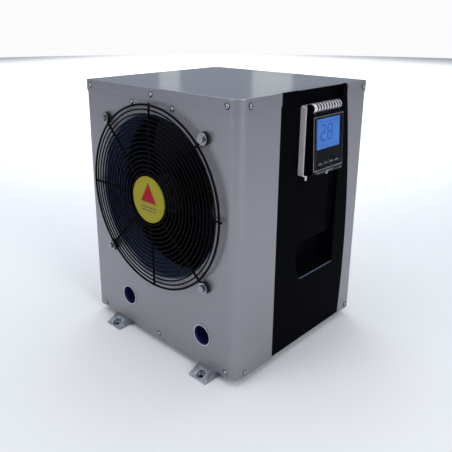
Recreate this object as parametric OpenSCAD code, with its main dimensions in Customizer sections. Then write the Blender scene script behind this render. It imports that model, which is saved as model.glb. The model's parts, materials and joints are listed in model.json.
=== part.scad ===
// Pool and spa heat pump unit: sheet-metal cabinet, front fan, water heat exchanger, side controller.
// Origin: on the floor, at the middle of the four foot bolts. X right, Y to the back, Z up.
// Shapes inside the cabinet are placed from the cabinet's own front left bottom corner.

/* [Cabinet] */
// Width of the cabinet
cab_w = 440; // [436:1:446]
// Depth of the cabinet
cab_d = 404; // [400:1:412]
// Height of the cabinet without its feet
cab_h = 544; // [540:1:552]
// Radius of the front right and rear left corners
corner_r = 22; // [20:1:26]
// Sheet metal thickness
sheet = 1.2; // [1:0.1:1.4]
// Height of the top cover's down-turned lip
lip_h = 24; // [22:1:26]

/* [Feet] */
// Height of the cabinet over the floor
foot_h = 16; // [15:1:22]
// Width of a foot rail
foot_w = 46; // [44:1:54]
// Distance between the foot rails
foot_pitch = 278; // [270:2:284]
// How far a toe reaches out from the cabinet
foot_reach = 30; // [29:1:36]
// Bolt hole in a toe
foot_hole_d = 9; // [7:0.5:10]

/* [Fan] */
// Fan centre, from the cabinet's left side
fan_x = 216; // [212:1:220]
// Fan centre, from the cabinet's bottom
fan_z = 323; // [320:1:326]
// Opening in the front panel
opening_d = 342; // [338:1:344]
// Wire guard's outer ring
guard_d = 383; // [381:1:384]
// Number of rings in the guard
guard_rings = 16; // [14:1:17]
// Diameter over the fan blades
blade_d = 322; // [300:1:326]
// Number of blades
blade_count = 3; // [3:1:5]

/* [Water ports] */
// Left port, from the cabinet's left side
port_left_x = 117; // [115:1:122]
// Right port, from the cabinet's left side
port_right_x = 350; // [345:1:352]
// Height of both ports
port_z = 66; // [65:1:70]
// Bore of the port pipes
port_bore_d = 40; // [39:0.5:42]

/* [Side panel] */
// Front edge of the black panel, from the cabinet's front
panel_front_y = 113; // [110:1:116]
// Rearmost point of the panel's bowed rear edge
panel_rear_y = 367; // [364:1:370]
// Depth of the long channel
channel_depth = 11; // [9:0.5:12]
// Depth of the hand-hold
hold_depth = 38; // [30:1:38]

/* [Controller] */
// Width of the controller
ctl_w = 109; // [107:1:112]
// How far the flip cover's barrel stands off the channel floor, at its axis
barrel_out = 17.5; // [17.5:0.1:18]
// Depth to which a key travels
key_travel = 1.2; // [0.8:0.1:1.4]

/* [Hidden] */
$fn = 64;

// Place of the cabinet's front left bottom corner in the row's frame.
cab_shift = -5.5;
cab_corner = [cab_shift - cab_w / 2, -cab_d / 2, foot_h];
module in_cabinet() {
    translate(cab_corner) children();
}

// ---------- shared shapes ----------

// A cylinder along +X, +Y or +Z from a start point.
module rod_x(start, r, len) {
    translate(start) rotate([0, 90, 0]) cylinder(r = r, h = len);
}
module rod_y(start, r, len) {
    translate(start) rotate([-90, 0, 0]) cylinder(r = r, h = len);
}
module rod_z(start, r, len) {
    translate(start) cylinder(r = r, h = len);
}

// A straight round bar between two points.
module bar(a, b, r) {
    d = b - a;
    len = norm(d);
    turn = atan2(d[1], d[0]);
    lean = acos(d[2] / len);
    translate(a) rotate([0, lean, turn]) cylinder(r = r, h = len);
}

// A pipe through a list of points, with a brazed elbow at each bend.
module pipe(points, r) {
    elbow = r + 0.8;
    for (i = [0 : len(points) - 2]) bar(points[i], points[i + 1], r);
    for (i = [1 : 1 : len(points) - 2]) translate(points[i]) sphere(r = elbow, $fn = 32);
}

// What is cut away outside a rounded corner; dx and dy say which way the corner points.
module corner_waste(centre, r, dx, dy) {
    translate(centre) difference() {
        translate([dx > 0 ? 0 : -r - 2, dy > 0 ? 0 : -r - 2]) square(r + 2);
        circle(r = r);
    }
}

// Cabinet outline, drawn in from the panels' outer face by an inset.
module plan(inset) {
    r = corner_r - inset;
    difference() {
        translate([inset, inset]) square([cab_w - 2 * inset, cab_d - 2 * inset]);
        corner_waste([cab_w - corner_r, corner_r], r, 1, -1);
        corner_waste([corner_r, cab_d - corner_r], r, -1, 1);
    }
}

// Cabinet wall of one thickness, with its outer face drawn in by an inset.
module wall_plan(inset, thick) {
    difference() {
        plan(inset);
        plan(inset + thick);
    }
}

// A box with rounded edges along X.
module soft_box_x(start, size, r) {
    translate(start) rotate([90, 0, 90]) linear_extrude(size[0]) soft_rect(size[1], size[2], r);
}

// A rectangle with round corners, as squares and circles.
module soft_rect(w, h, r) {
    translate([r, 0]) square([w - 2 * r, h]);
    translate([0, r]) square([w, h - 2 * r]);
    for (x = [r, w - r], y = [r, h - r]) translate([x, y]) circle(r = r);
}

// ---------- screws ----------

screw_r = 1.9;
screw_clear = 0.2;
screw_head_r = 5;
screw_head_h = 3.2;
screw_len = 7.5;
lip_t = sheet;
lip_gap = 0.1;
lip_out = lip_t + lip_gap;
top_row_z = cab_h - 13;
low_row_z = 10;
shroud_screw_z = cab_h - 34;

// The screws next to a rounded corner stand just clear of its bend.
beside_bend = corner_r + screw_head_r;

// Each screw is [position along the face, height, how far the seat stands outside the panel].
front_screws = [
    [10, top_row_z, lip_out], [fan_x - 2, top_row_z, lip_out], [cab_w - beside_bend, top_row_z, lip_out],
    [fan_x - 64, shroud_screw_z, 0], [fan_x + 58, shroud_screw_z, 0],
    [22, low_row_z, 0], [fan_x, low_row_z, 0], [cab_w - beside_bend, low_row_z, 0]];
right_screws = [
    [beside_bend, top_row_z, lip_out], [cab_d - 9, top_row_z, lip_out],
    [beside_bend, low_row_z, 0], [cab_d - 10, low_row_z, 0]];
left_screws = [for (y = [12, cab_d / 2, cab_d - beside_bend - 1])
    each [[y, top_row_z, lip_out], [y, low_row_z, 0]]];
rear_screws = [for (x = [beside_bend + 1, cab_w / 2, cab_w - 12])
    each [[x, top_row_z, lip_out], [x, low_row_z, 0]]];

// Children are drawn at every screw, pointing out of the panel along +Z of their own frame.
module at_screws() {
    for (s = front_screws) translate([s[0], -s[2], s[1]]) rotate([90, 0, 0]) children();
    for (s = rear_screws) translate([s[0], cab_d + s[2], s[1]]) rotate([-90, 0, 0]) children();
    for (s = right_screws) translate([cab_w + s[2], s[0], s[1]]) rotate([0, 90, 0]) children();
    for (s = left_screws) translate([-s[2], s[0], s[1]]) rotate([0, -90, 0]) children();
}

module screw_holes() {
    at_screws() translate([0, 0, -screw_len - 1]) cylinder(r = screw_r + screw_clear, h = screw_len + 2);
}

module pan_screw() {
    slot_w = 1.1;
    slot_l = 5;
    difference() {
        rotate_extrude() polygon([
            [0, -screw_len], [screw_r, -screw_len], [screw_r, 0], [screw_head_r, 0],
            [screw_head_r, screw_head_h * 0.3], [screw_head_r * 0.88, screw_head_h * 0.65],
            [screw_head_r * 0.62, screw_head_h * 0.92], [screw_head_r * 0.3, screw_head_h], [0, screw_head_h]]);
        for (a = [0, 90]) rotate(a) translate([-slot_l / 2, -slot_w / 2, screw_head_h - 1.2])
            cube([slot_l, slot_w, 2]);
    }
}

module cabinet_screws() {
    color("gainsboro") in_cabinet() at_screws() pan_screw();
}

// ---------- feet ----------

rail_t = 2.5;
landing_r = 11;
landing_out = 18;
cheek_t = 2.5;

// Side view of a toe's sloped plate, y outwards from the cabinet, z up from the floor.
module toe_plate() {
    rotate([90, 0, 90]) linear_extrude(foot_w) polygon([
        [0, foot_h], [0, foot_h - rail_t * 1.2], [foot_reach - rail_t, 0], [foot_reach, 0], [foot_reach, rail_t * 0.6]]);
}

// The toe's whole wedge, under the plate's upper face.
module toe_wedge() {
    rotate([90, 0, 90]) linear_extrude(foot_w) polygon([
        [0, 0], [foot_reach, 0], [foot_reach, rail_t * 0.6], [0, foot_h]]);
}

module toe() {
    cup_wall = 1.5;
    at = [foot_w / 2, landing_out, 0];
    difference() {
        union() {
            toe_plate();
            for (x = [0, foot_w - cheek_t]) translate([x, 0, 0]) rotate([90, 0, 90]) linear_extrude(cheek_t)
                polygon([[0, 0], [foot_reach - rail_t, 0], [0, foot_h - rail_t]]);
            intersection() {
                rod_z(at, landing_r, foot_h);
                toe_wedge();
            }
        }
        // The pressed cup is cleared down to its flat floor, so a bolt head sits flat.
        rod_z(at + [0, 0, rail_t], landing_r - cup_wall, foot_h);
        rod_z(at - [0, 0, 1], foot_hole_d / 2, foot_h);
    }
}

// A rail: a channel under the base pan with a toe at each end.
module foot_rail(centre_x) {
    color("darkgray") translate([centre_x - foot_w / 2, 0, 0]) {
        difference() {
            translate([0, -cab_d / 2, 0]) cube([foot_w, cab_d, foot_h]);
            translate([cheek_t, -cab_d / 2 - 1, -1]) cube([foot_w - 2 * cheek_t, cab_d + 2, foot_h - rail_t + 1]);
        }
        translate([0, cab_d / 2, 0]) toe();
        mirror([0, 1, 0]) translate([0, cab_d / 2, 0]) toe();
    }
}
module foot_rail_left() {
    foot_rail(-foot_pitch / 2);
}
module foot_rail_right() {
    foot_rail(foot_pitch / 2);
}

// ---------- cabinet ----------

pan_inset = 3;
pan_flange_h = 22;
panel_top = cab_h - sheet - 0.1;
pan_floor = 1.5;
drain_at = [205, 300];
drain_r = 8;

module base_pan() {
    color("lightgray") in_cabinet() difference() {
        union() {
            linear_extrude(pan_floor) plan(pan_inset);
            linear_extrude(pan_flange_h) wall_plan(pan_inset, sheet);
        }
        screw_holes();
        translate([drain_at[0], drain_at[1], -1]) cylinder(r = drain_r, h = 4);
    }
}

port_hole_r = port_bore_d / 2 + 1.5;
guard_bolt_pcr = 206;
guard_bolt_r = 3;

module at_guard_bolts() {
    for (a = [45 : 90 : 315]) translate([fan_x, 0, fan_z]) rotate([0, a, 0])
        translate([guard_bolt_pcr, 0, 0]) rotate([90, 0, 0]) children();
}
module at_ports() {
    for (x = [port_left_x, port_right_x]) translate([x, 0, port_z]) rotate([-90, 0, 0]) children();
}

module front_panel() {
    flange = 12;
    color("silver") in_cabinet() difference() {
        union() {
            intersection() {
                linear_extrude(panel_top) wall_plan(0, sheet);
                linear_extrude(panel_top) polygon([
                    [-1, -1], [cab_w + 1, -1], [cab_w + 1, panel_front_y - 1], [cab_w - corner_r - 8, panel_front_y - 1],
                    [cab_w - corner_r - 8, sheet], [-1, sheet]]);
            }
            translate([cab_w - sheet - flange, panel_front_y - 1 - sheet, 24]) cube([flange, sheet, panel_top - 24]);
        }
        rod_y([fan_x, -1, fan_z], opening_d / 2, 4);
        at_ports() translate([0, 0, -1]) cylinder(r = port_hole_r, h = 4);
        at_guard_bolts() cylinder(r = guard_bolt_r + 0.3, h = 10, center = true);
        screw_holes();
    }
}

slot_w = 44;
slot_h = 10;
slot_pitch = 56;
slot_rise = 21;
slot_rows = 21;
slot_z0 = 58;

// One block of air slots, cut through a wall that stands in the XZ plane.
module air_slots(columns) {
    for (c = [0 : columns - 1], r = [0 : slot_rows - 1])
        translate([c * slot_pitch, -3, slot_z0 + r * slot_rise]) cube([slot_w, 6, slot_h]);
}

gland_at = [398, 60];
gland_r = 10;

// The left panel's rear edge steps in by one sheet and laps behind the rear panel's front edge.
seam_lap = 10;
seam_y = cab_d - beside_bend - 1 - seam_lap / 2;
module left_panel() {
    step_in = sheet + 0.1;
    step_y = seam_y - 0.3 - sheet;
    color("silver") in_cabinet() difference() {
        union() {
            translate([0, sheet, 0]) cube([sheet, step_y, panel_top]);
            translate([0, step_y, 0]) cube([step_in + sheet, sheet, panel_top]);
            translate([step_in, step_y, 0]) cube([sheet, seam_y + seam_lap - step_y, panel_top]);
        }
        translate([0, 48, 0]) rotate(90) air_slots(5);
        screw_holes();
    }
}
module rear_panel() {
    color("silver") in_cabinet() difference() {
        intersection() {
            linear_extrude(panel_top) wall_plan(0, sheet);
            translate([-1, seam_y, 0]) cube([cab_w - sheet + 1, cab_d - seam_y + 1, panel_top]);
        }
        translate([56, cab_d, 0]) air_slots(4);
        rod_y([gland_at[0], cab_d - 4, gland_at[1]], gland_r, 8);
        screw_holes();
    }
}

// The black panel's rear edge is one long bow, widest a little above the hand-hold.
bow_r = 1870;
bow_z = 170;
module bow(grow) {
    translate([cab_w - 100, panel_rear_y - bow_r, bow_z]) rotate([0, 90, 0])
        cylinder(r = bow_r + grow, h = 200, $fn = 720);
}

module corner_strip() {
    flange = 14;
    color("silver") in_cabinet() difference() {
        union() {
            translate([cab_w - sheet, panel_rear_y - 50, 0]) cube([sheet, cab_d - panel_rear_y + 50, panel_top]);
            translate([cab_w - sheet - flange, cab_d - sheet * 2, 24]) cube([flange, sheet, panel_top - 24]);
        }
        bow(0.8);
        screw_holes();
    }
}

side_t = 2.5;
side_top = cab_h - 0.2;
channel_top = cab_h - 4;
side_bottom = 3;
channel_y = [panel_front_y + 50, panel_rear_y - 49];
hold_y0 = panel_front_y + 84;
hold_z = [150, 225];
hold_rise = 5;

// Channel and hand-hold, drawn from the panel's face inwards; grow gives the wall behind them.
module channel_space(grow) {
    top = grow > 0 ? channel_top : cab_h + 2;
    out = cab_w + (grow > 0 ? 0 : 2);
    translate([0, channel_y[1] + grow, 0]) rotate([90, 0, 0])
        linear_extrude(channel_y[1] - channel_y[0] + 2 * grow) polygon([
            [out, hold_z[0] - grow], [cab_w - channel_depth - grow, hold_z[0] - grow],
            [cab_w - channel_depth - grow, top], [out, top]]);
    translate([0, channel_y[1] + grow, 0]) rotate([90, 0, 0])
        linear_extrude(channel_y[1] - hold_y0 + 2 * grow) polygon([
            [out, hold_z[0] - grow], [cab_w - hold_depth - grow, hold_z[0] + hold_rise - grow],
            [cab_w - hold_depth - grow, hold_z[1] + grow], [out, hold_z[1] + grow]]);
}

// The channel's lower front corner is left solid under a slanted edge.
module channel_slant(grow) {
    translate([cab_w - channel_depth - 20, 0, 0]) rotate([90, 0, 90]) linear_extrude(40) polygon([
        [channel_y[0] - 10, hold_z[0] - 10], [hold_y0 - grow, hold_z[0] - 10], [hold_y0 - grow, hold_z[0]],
        [channel_y[0] - grow, hold_z[1] - 5], [channel_y[0] - 10, hold_z[1] - 5]]);
}

module side_panel() {
    color("#15161a") in_cabinet() difference() {
        union() {
            intersection() {
                translate([cab_w - side_t, panel_front_y, side_bottom])
                    cube([side_t, panel_rear_y - panel_front_y + 5, side_top - side_bottom]);
                bow(0);
            }
            channel_space(side_t);
        }
        difference() {
            channel_space(0);
            channel_slant(0);
        }
    }
}

// Along the black panel the lip is left out and the sheet stops behind the panel's upper edge.
module top_cover() {
    notch_y = [panel_front_y - 0.5, panel_rear_y - 35];
    notch_x = cab_w - side_t - 0.3;
    bead = [1.5, notch_y[1] - notch_y[0] - 30, 0.7];
    bead_in = 13;
    color("lightsteelblue") in_cabinet() difference() {
        union() {
            translate([0, 0, cab_h - lip_h]) linear_extrude(lip_h) wall_plan(-lip_out, lip_t);
            translate([0, 0, cab_h - sheet]) linear_extrude(sheet) plan(-lip_out);
        }
        translate([notch_x, notch_y[0], cab_h - lip_h - 1]) cube([6, notch_y[1] - notch_y[0], lip_h + 2]);
        // A pressed bead runs along the notch and stiffens the free edge.
        translate([cab_w - bead_in, notch_y[0] - 12, cab_h - bead[2]]) cube(bead + [0, 0, 1]);
        screw_holes();
    }
}

// ---------- fan and guard ----------

shroud_r = opening_d / 2 - 2.5;
shroud_depth = 58;

module fan_shroud() {
    plate = [[14, 112], [cab_w - 38, cab_h - 10]];
    mouth_r = 3;
    color("lightgray") in_cabinet() difference() {
        union() {
            difference() {
                translate([plate[0][0], sheet, plate[0][1]])
                    cube([plate[1][0] - plate[0][0], sheet, plate[1][1] - plate[0][1]]);
                rod_y([fan_x, 0, fan_z], shroud_r + 1, 5);
            }
            translate([fan_x, sheet, fan_z]) rotate([-90, 0, 0]) rotate_extrude($fn = 180) polygon([
                [shroud_r + mouth_r, 0], [shroud_r, mouth_r], [shroud_r, shroud_depth],
                [shroud_r + 1.5, shroud_depth], [shroud_r + 1.5, mouth_r + 0.6], [shroud_r + mouth_r + 0.9, sheet]]);
        }
        at_guard_bolts() cylinder(r = guard_bolt_r + 0.3, h = 10, center = true);
        screw_holes();
    }
}

ring_wire = 1.6;
spoke_wire = 2.3;
guard_off = 11;
guard_dome = 5;
badge_r = 48;
eye_off = 6.6;
eye_r = 7;
guard_r = guard_d / 2 - spoke_wire;
inner_ring_r = badge_r + 5;
ring_pitch = (guard_r - inner_ring_r) / (guard_rings - 1);

// How far in front of the panel the wires stand at a given radius.
function guard_y(r) = -guard_off - guard_dome * (1 - r / guard_r);

module wire_ring(r, y, wire) {
    translate([fan_x, y, fan_z]) rotate([90, 0, 0]) rotate_extrude($fn = 128)
        translate([r, 0]) circle(r = wire, $fn = 32);
}
function on_fan(a, r, y) = [fan_x + r * cos(a), y, fan_z + r * sin(a)];

module fan_guard() {
    behind = ring_wire + spoke_wire - 0.9;
    hub_r = badge_r - 8;
    tip = 4;
    color("#101010") in_cabinet() {
        for (i = [0 : guard_rings - 2])
            wire_ring(inner_ring_r + i * ring_pitch, guard_y(inner_ring_r + i * ring_pitch), ring_wire);
        wire_ring(guard_r, guard_y(guard_r), spoke_wire);
        wire_ring(hub_r, guard_y(hub_r) + behind, spoke_wire);
        for (a = [0 : 90 : 270])
            bar(on_fan(a, hub_r, guard_y(hub_r) + behind), on_fan(a, guard_r + tip, guard_y(guard_r) + behind), spoke_wire);
        for (a = [45 : 90 : 315]) {
            bend = on_fan(a, guard_r - 3, guard_y(guard_r) + behind);
            bar(on_fan(a, hub_r, guard_y(hub_r) + behind), bend, spoke_wire);
            flat = on_fan(a, guard_r + 4.5, -eye_off);
            for (p = [bend, flat]) translate(p) sphere(r = spoke_wire + 0.1, $fn = 32);
            bar(bend, flat, spoke_wire);
            bar(flat, on_fan(a, guard_bolt_pcr - eye_r, -eye_off), spoke_wire);
            translate(on_fan(a, guard_bolt_pcr, -eye_off)) rotate([90, 0, 0]) rotate_extrude()
                translate([eye_r, 0]) circle(r = spoke_wire, $fn = 32);
        }
    }
}

spacer_h = eye_off - spoke_wire;
washer_t = 1.6;
washer_z = eye_off + spoke_wire;

module guard_spacers() {
    color("#181818") in_cabinet() at_guard_bolts() difference() {
        cylinder(r = 12.5, h = spacer_h);
        translate([0, 0, -1]) cylinder(r = guard_bolt_r + 0.3, h = spacer_h + 2);
    }
}
module guard_washers() {
    color("gainsboro") in_cabinet() at_guard_bolts() translate([0, 0, washer_z]) difference() {
        cylinder(r = 11.5, h = washer_t);
        translate([0, 0, -1]) cylinder(r = guard_bolt_r + 0.3, h = washer_t + 2);
    }
}
module guard_bolts() {
    head_r = 7.5;
    head_h = 5.3;
    color("gainsboro") in_cabinet() at_guard_bolts() {
        translate([0, 0, -12]) cylinder(r = guard_bolt_r, h = washer_z + washer_t + 12);
        translate([0, 0, washer_z + washer_t]) cylinder(r = head_r, h = head_h, $fn = 6);
    }
}

module guard_badge() {
    rim = 3;
    dish = 1;
    thick = 3;
    back = 14.4;
    color("#a09a3a") in_cabinet() translate([fan_x, -back, fan_z]) rotate([90, 0, 0]) difference() {
        cylinder(r = badge_r, h = thick, $fn = 128);
        translate([0, 0, thick - dish]) cylinder(r = badge_r - rim, h = dish + 1, $fn = 128);
    }
}

hub_r = 42;
hub_y = [42, 92];
shaft_r = 5;
blade_t = 3;
blade_root_r = hub_r - 3;
blade_tip_r = blade_d / 2;

// Blade surface: u runs from root to tip, v along the chord, side is -1 or 1 for the two skins.
function blade_point(u, v, side) =
    let (
        r = blade_root_r + u * (blade_tip_r - blade_root_r),
        half_chord = 40 + 44 * u - 6 * u * u,
        pitch = 36 - 20 * u,
        s = (v - 0.5) * 2 * half_chord,
        camber = 7 * (1 - pow(2 * v - 1, 2)),
        thick = blade_t / 2 * (0.35 + 0.65 * sin(180 * v)),
        sweep = 18 * u * u,
        along = s * cos(pitch) - camber * sin(pitch),
        axial = s * sin(pitch) + camber * cos(pitch) + side * thick,
        a = along / r * 180 / PI + sweep)
    [r * sin(a), axial, r * cos(a)];

blade_u = 10;
blade_v = 10;
function blade_points() = [for (side = [1, -1], i = [0 : blade_u], j = [0 : blade_v])
    blade_point(i / blade_u, j / blade_v, side)];
function skin(i, j, top) = (top ? (blade_u + 1) * (blade_v + 1) : 0) + i * (blade_v + 1) + j;
function blade_faces() = concat(
    [for (i = [0 : blade_u - 1], j = [0 : blade_v - 1])
        each [[skin(i, j, false), skin(i, j + 1, false), skin(i + 1, j + 1, false)],
              [skin(i, j, false), skin(i + 1, j + 1, false), skin(i + 1, j, false)],
              [skin(i, j, true), skin(i + 1, j + 1, true), skin(i, j + 1, true)],
              [skin(i, j, true), skin(i + 1, j, true), skin(i + 1, j + 1, true)]]],
    [for (j = [0 : blade_v - 1], i = [0, blade_u])
        each (i == 0
            ? [[skin(i, j, false), skin(i, j, true), skin(i, j + 1, true)],
               [skin(i, j, false), skin(i, j + 1, true), skin(i, j + 1, false)]]
            : [[skin(i, j, false), skin(i, j + 1, true), skin(i, j, true)],
               [skin(i, j, false), skin(i, j + 1, false), skin(i, j + 1, true)]])],
    [for (i = [0 : blade_u - 1], j = [0, blade_v])
        each (j == 0
            ? [[skin(i, j, false), skin(i + 1, j, true), skin(i, j, true)],
               [skin(i, j, false), skin(i + 1, j, false), skin(i + 1, j, true)]]
            : [[skin(i, j, false), skin(i, j, true), skin(i + 1, j, true)],
               [skin(i, j, false), skin(i + 1, j, true), skin(i + 1, j, false)]])]);

module fan_rotor() {
    mid_y = (hub_y[0] + hub_y[1]) / 2;
    color("#23252c") in_cabinet() translate([fan_x, 0, fan_z]) difference() {
        union() {
            difference() {
                rod_y([0, hub_y[0], 0], hub_r, hub_y[1] - hub_y[0]);
                rod_y([0, hub_y[0] + 4, 0], hub_r - 4, hub_y[1] - hub_y[0]);
            }
            rod_y([0, hub_y[0], 0], shaft_r + 6, hub_y[1] - hub_y[0]);
            for (k = [0 : blade_count - 1]) rotate([0, k * 360 / blade_count, 0]) translate([0, mid_y, 0])
                polyhedron(points = blade_points(), faces = blade_faces());
        }
        rod_y([0, hub_y[0] - 1, 0], shaft_r, hub_y[1] - hub_y[0] + 2);
    }
}

motor_y = [106, 184];
motor_r = 52;
module motor_shaft() {
    color("silver") in_cabinet() rod_y([fan_x, hub_y[0] - 6, fan_z], shaft_r, motor_y[0] + 40 - hub_y[0] + 6);
}

ear_at = [40, 64];
ear_y = motor_y[0] + 34;
strap_t = 2;
module fan_motor() {
    color("dimgray") in_cabinet() translate([fan_x, 0, fan_z]) difference() {
        union() {
            rod_y([0, motor_y[0], 0], motor_r, motor_y[1] - motor_y[0]);
            rod_y([0, motor_y[0] - 8, 0], 16, 9);
            for (sx = [-1, 1], sz = [-1, 1]) translate([sx * ear_at[0] - 9, ear_y - 4, sz > 0 ? 28 : -28 - 46])
                cube([18, 4, 46]);
        }
        rod_y([0, motor_y[0] - 10, 0], shaft_r + 0.05, 52);
        for (sx = [-1, 1], sz = [-1, 1]) rod_y([sx * ear_at[0], ear_y - 6, sz * ear_at[1]], 2.6, 8);
    }
}

rail_x = [-95, 95];
module motor_bracket() {
    rail_w = 20;
    strap_h = 20;
    color("lightgray") in_cabinet() {
        for (x = rail_x) difference() {
            translate([fan_x + x - rail_w / 2, ear_y + strap_t, pan_floor])
                cube([rail_w, 12, panel_top - pan_floor]);
            translate([fan_x + x - rail_w / 2 + 1.5, ear_y + strap_t + 1.5, pan_floor - 1])
                cube([rail_w - 3, 12, panel_top - pan_floor + 2]);
        }
        for (sz = [-1, 1]) difference() {
            translate([fan_x + rail_x[0] - rail_w / 2, ear_y, fan_z + sz * ear_at[1] - strap_h / 2])
                cube([rail_x[1] - rail_x[0] + rail_w, strap_t, strap_h]);
            for (sx = [-1, 1]) rod_y([fan_x + sx * ear_at[0], ear_y - 1, fan_z + sz * ear_at[1]], 2.6, 4);
        }
    }
}

// ---------- air coil and partition ----------

coil_out = 8;
coil_t = 26;
coil_bend_r = 60;
coil_front_y = 34;
coil_right_x = 272;
coil_z = [6, panel_top - 6];

// Plan of the L-shaped coil, drawn in on both faces by a trim.
module coil_plan(trim) {
    r_out = coil_bend_r - trim;
    r_in = coil_bend_r - coil_t + trim;
    centre = [coil_out + coil_bend_r, cab_d - coil_out - coil_bend_r];
    translate([coil_out + trim, coil_front_y]) square([coil_t - 2 * trim, centre[1] - coil_front_y]);
    translate([centre[0], cab_d - coil_out - coil_t + trim]) square([coil_right_x - centre[0], coil_t - 2 * trim]);
    translate(centre) intersection() {
        difference() {
            circle(r = r_out);
            circle(r = r_in);
        }
        translate([-r_out - 1, 0]) square(r_out + 1);
    }
}
module coil_fins() {
    color("aliceblue") in_cabinet() translate([0, 0, coil_z[0]]) linear_extrude(coil_z[1] - coil_z[0]) coil_plan(0);
}

end_t = 1.5;
module coil_end_plates() {
    color("lightgray") in_cabinet() {
        translate([coil_out, coil_front_y - end_t, pan_floor]) cube([coil_t, end_t, coil_z[1] - pan_floor]);
        translate([coil_right_x, cab_d - coil_out - coil_t, pan_floor]) cube([end_t, coil_t, coil_z[1] - pan_floor]);
    }
}

tube_r = 3.5;
tube_pitch = 50.8;
tube_rows = 10;
// Return bends at the coil's front end and at its right end.
module coil_tubes() {
    bend_r = tube_pitch / 4;
    color("peru") in_cabinet() for (i = [0 : tube_rows - 1]) {
        z = coil_z[0] + 30 + i * tube_pitch;
        translate([coil_out + coil_t / 2, coil_front_y - end_t, z]) rotate([0, -90, 0])
            rotate_extrude(angle = -180) translate([bend_r, 0]) circle(r = tube_r);
        translate([coil_right_x + end_t, cab_d - coil_out - coil_t / 2, z]) rotate([0, -90, 90])
            rotate_extrude(angle = -180) translate([bend_r, 0]) circle(r = tube_r);
    }
}

bay_x = 295;
bay_y = 156;
coil_mid_y = cab_d - coil_out - coil_t / 2;
// Heights between the return bends, where the liquid and the gas pipe reach the coil.
liquid_z = coil_z[0] + 30 + 4.5 * tube_pitch;
coil_gas_z = coil_z[0] + 30 + 5.5 * tube_pitch;
gas_x = 408;
gas_z = 311;
liquid_low_z = 70;
module partition_plate() {
    top = panel_top - 3;
    hole = pipe_r + 1.5;
    color("silver") in_cabinet() difference() {
        union() {
            translate([bay_x, bay_y, pan_floor]) cube([sheet, cab_d - 4 - pan_inset - bay_y, top - pan_floor]);
            translate([bay_x, bay_y, pan_floor]) cube([138, sheet, top - pan_floor]);
        }
        for (z = [liquid_z, coil_gas_z]) rod_x([bay_x - 3, coil_mid_y, z], hole, 8);
        rod_y([gas_x, bay_y - 3, gas_z], hole, 8);
        rod_y([drier_at[0], bay_y - 3, liquid_low_z], hole, 8);
    }
}

// ---------- refrigeration circuit ----------

comp_at = [347, 340];
comp_r = 50;
comp_z = [20, 226];
comp_foot_r = 49;
module at_compressor_feet() {
    for (a = [0 : 120 : 240]) translate([comp_at[0], comp_at[1], 0]) rotate(a)
        translate([comp_foot_r, 0, 0]) children();
}

module compressor() {
    dome = 14;
    color("#2b2d33") in_cabinet() difference() {
        union() {
            translate([comp_at[0], comp_at[1], comp_z[0]]) rotate_extrude() polygon([
                [0, 0], [comp_r - 12, 0], [comp_r, 10], [comp_r, comp_z[1] - comp_z[0] - dome],
                [comp_r - 8, comp_z[1] - comp_z[0] - 5], [comp_r - 26, comp_z[1] - comp_z[0]], [0, comp_z[1] - comp_z[0]]]);
            at_compressor_feet() translate([-20, -9, comp_z[0] - 3]) cube([32, 18, 3.5]);
        }
        at_compressor_feet() translate([0, 0, comp_z[0] - 4]) cylinder(r = 3.4, h = 6);
    }
}
grommet_r = 9;
module compressor_grommets() {
    color("#202020") in_cabinet() at_compressor_feet() translate([0, 0, pan_floor]) difference() {
        cylinder(r = grommet_r, h = comp_z[0] - 3 - pan_floor);
        translate([0, 0, -1]) cylinder(r = 3.3, h = comp_z[0]);
    }
}
module compressor_bolts() {
    color("silver") in_cabinet() at_compressor_feet() {
        translate([0, 0, pan_floor]) cylinder(r = 3, h = 21);
        translate([0, 0, comp_z[0] + 0.5]) cylinder(r = 6, h = 3.5, $fn = 6);
    }
}

acc_at = [322, 262];
acc_r = 22;
acc_z = [50, 190];
module accumulator() {
    cone = 12;
    neck = 6;
    color("#2b2d33") in_cabinet() translate([acc_at[0], acc_at[1], acc_z[0]]) rotate_extrude() polygon([
        [0, 0], [neck, 0], [acc_r, cone], [acc_r, acc_z[1] - acc_z[0] - cone], [neck, acc_z[1] - acc_z[0]],
        [0, acc_z[1] - acc_z[0]]]);
}

valve_at = [347, 300, 286];
valve_r = 13;
valve_len = 66;
valve_port = [-20, 0, 20];
module reversing_valve() {
    color("goldenrod") in_cabinet() translate(valve_at) {
        rod_y([0, -valve_len / 2, 0], valve_r, valve_len);
        rod_y([0, -valve_len / 2 - 3, 0], valve_r - 4, valve_len + 6);
        rod_x([valve_r - 2, 0, 0], 4, 10);
        translate([valve_r + 7, -13, -12]) cube([16, 26, 24]);
    }
}

pipe_r = 4.8;
thin_r = 3.2;
// How far a pipe's end runs into the round surface that it is brazed to.
braze = 0.05;
module discharge_pipe() {
    top = comp_z[1];
    bend = valve_at[2] - valve_r - 16;
    color("peru") in_cabinet() pipe([
        [comp_at[0], comp_at[1], top], [comp_at[0], comp_at[1], bend], [comp_at[0], valve_at[1], bend],
        [comp_at[0], valve_at[1], valve_at[2] - valve_r + braze]], pipe_r);
}
module suction_pipe() {
    y = valve_at[1] + valve_port[1];
    up = valve_at[2] + valve_r + 18;
    color("peru") in_cabinet() {
        pipe([[valve_at[0], y, valve_at[2] + valve_r - braze], [valve_at[0], y, up], [acc_at[0], y, up],
            [acc_at[0], acc_at[1], up], [acc_at[0], acc_at[1], acc_z[1]]], pipe_r);
        pipe([[acc_at[0], acc_at[1], acc_z[0]], [acc_at[0], acc_at[1], acc_z[0] - 14],
            [comp_at[0], acc_at[1], acc_z[0] - 14], [comp_at[0], comp_at[1] - comp_r + braze, acc_z[0] - 14]], pipe_r);
    }
}

shell_y = 78;
shell_r = 52;
shell_x = [68, 398];
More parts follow.
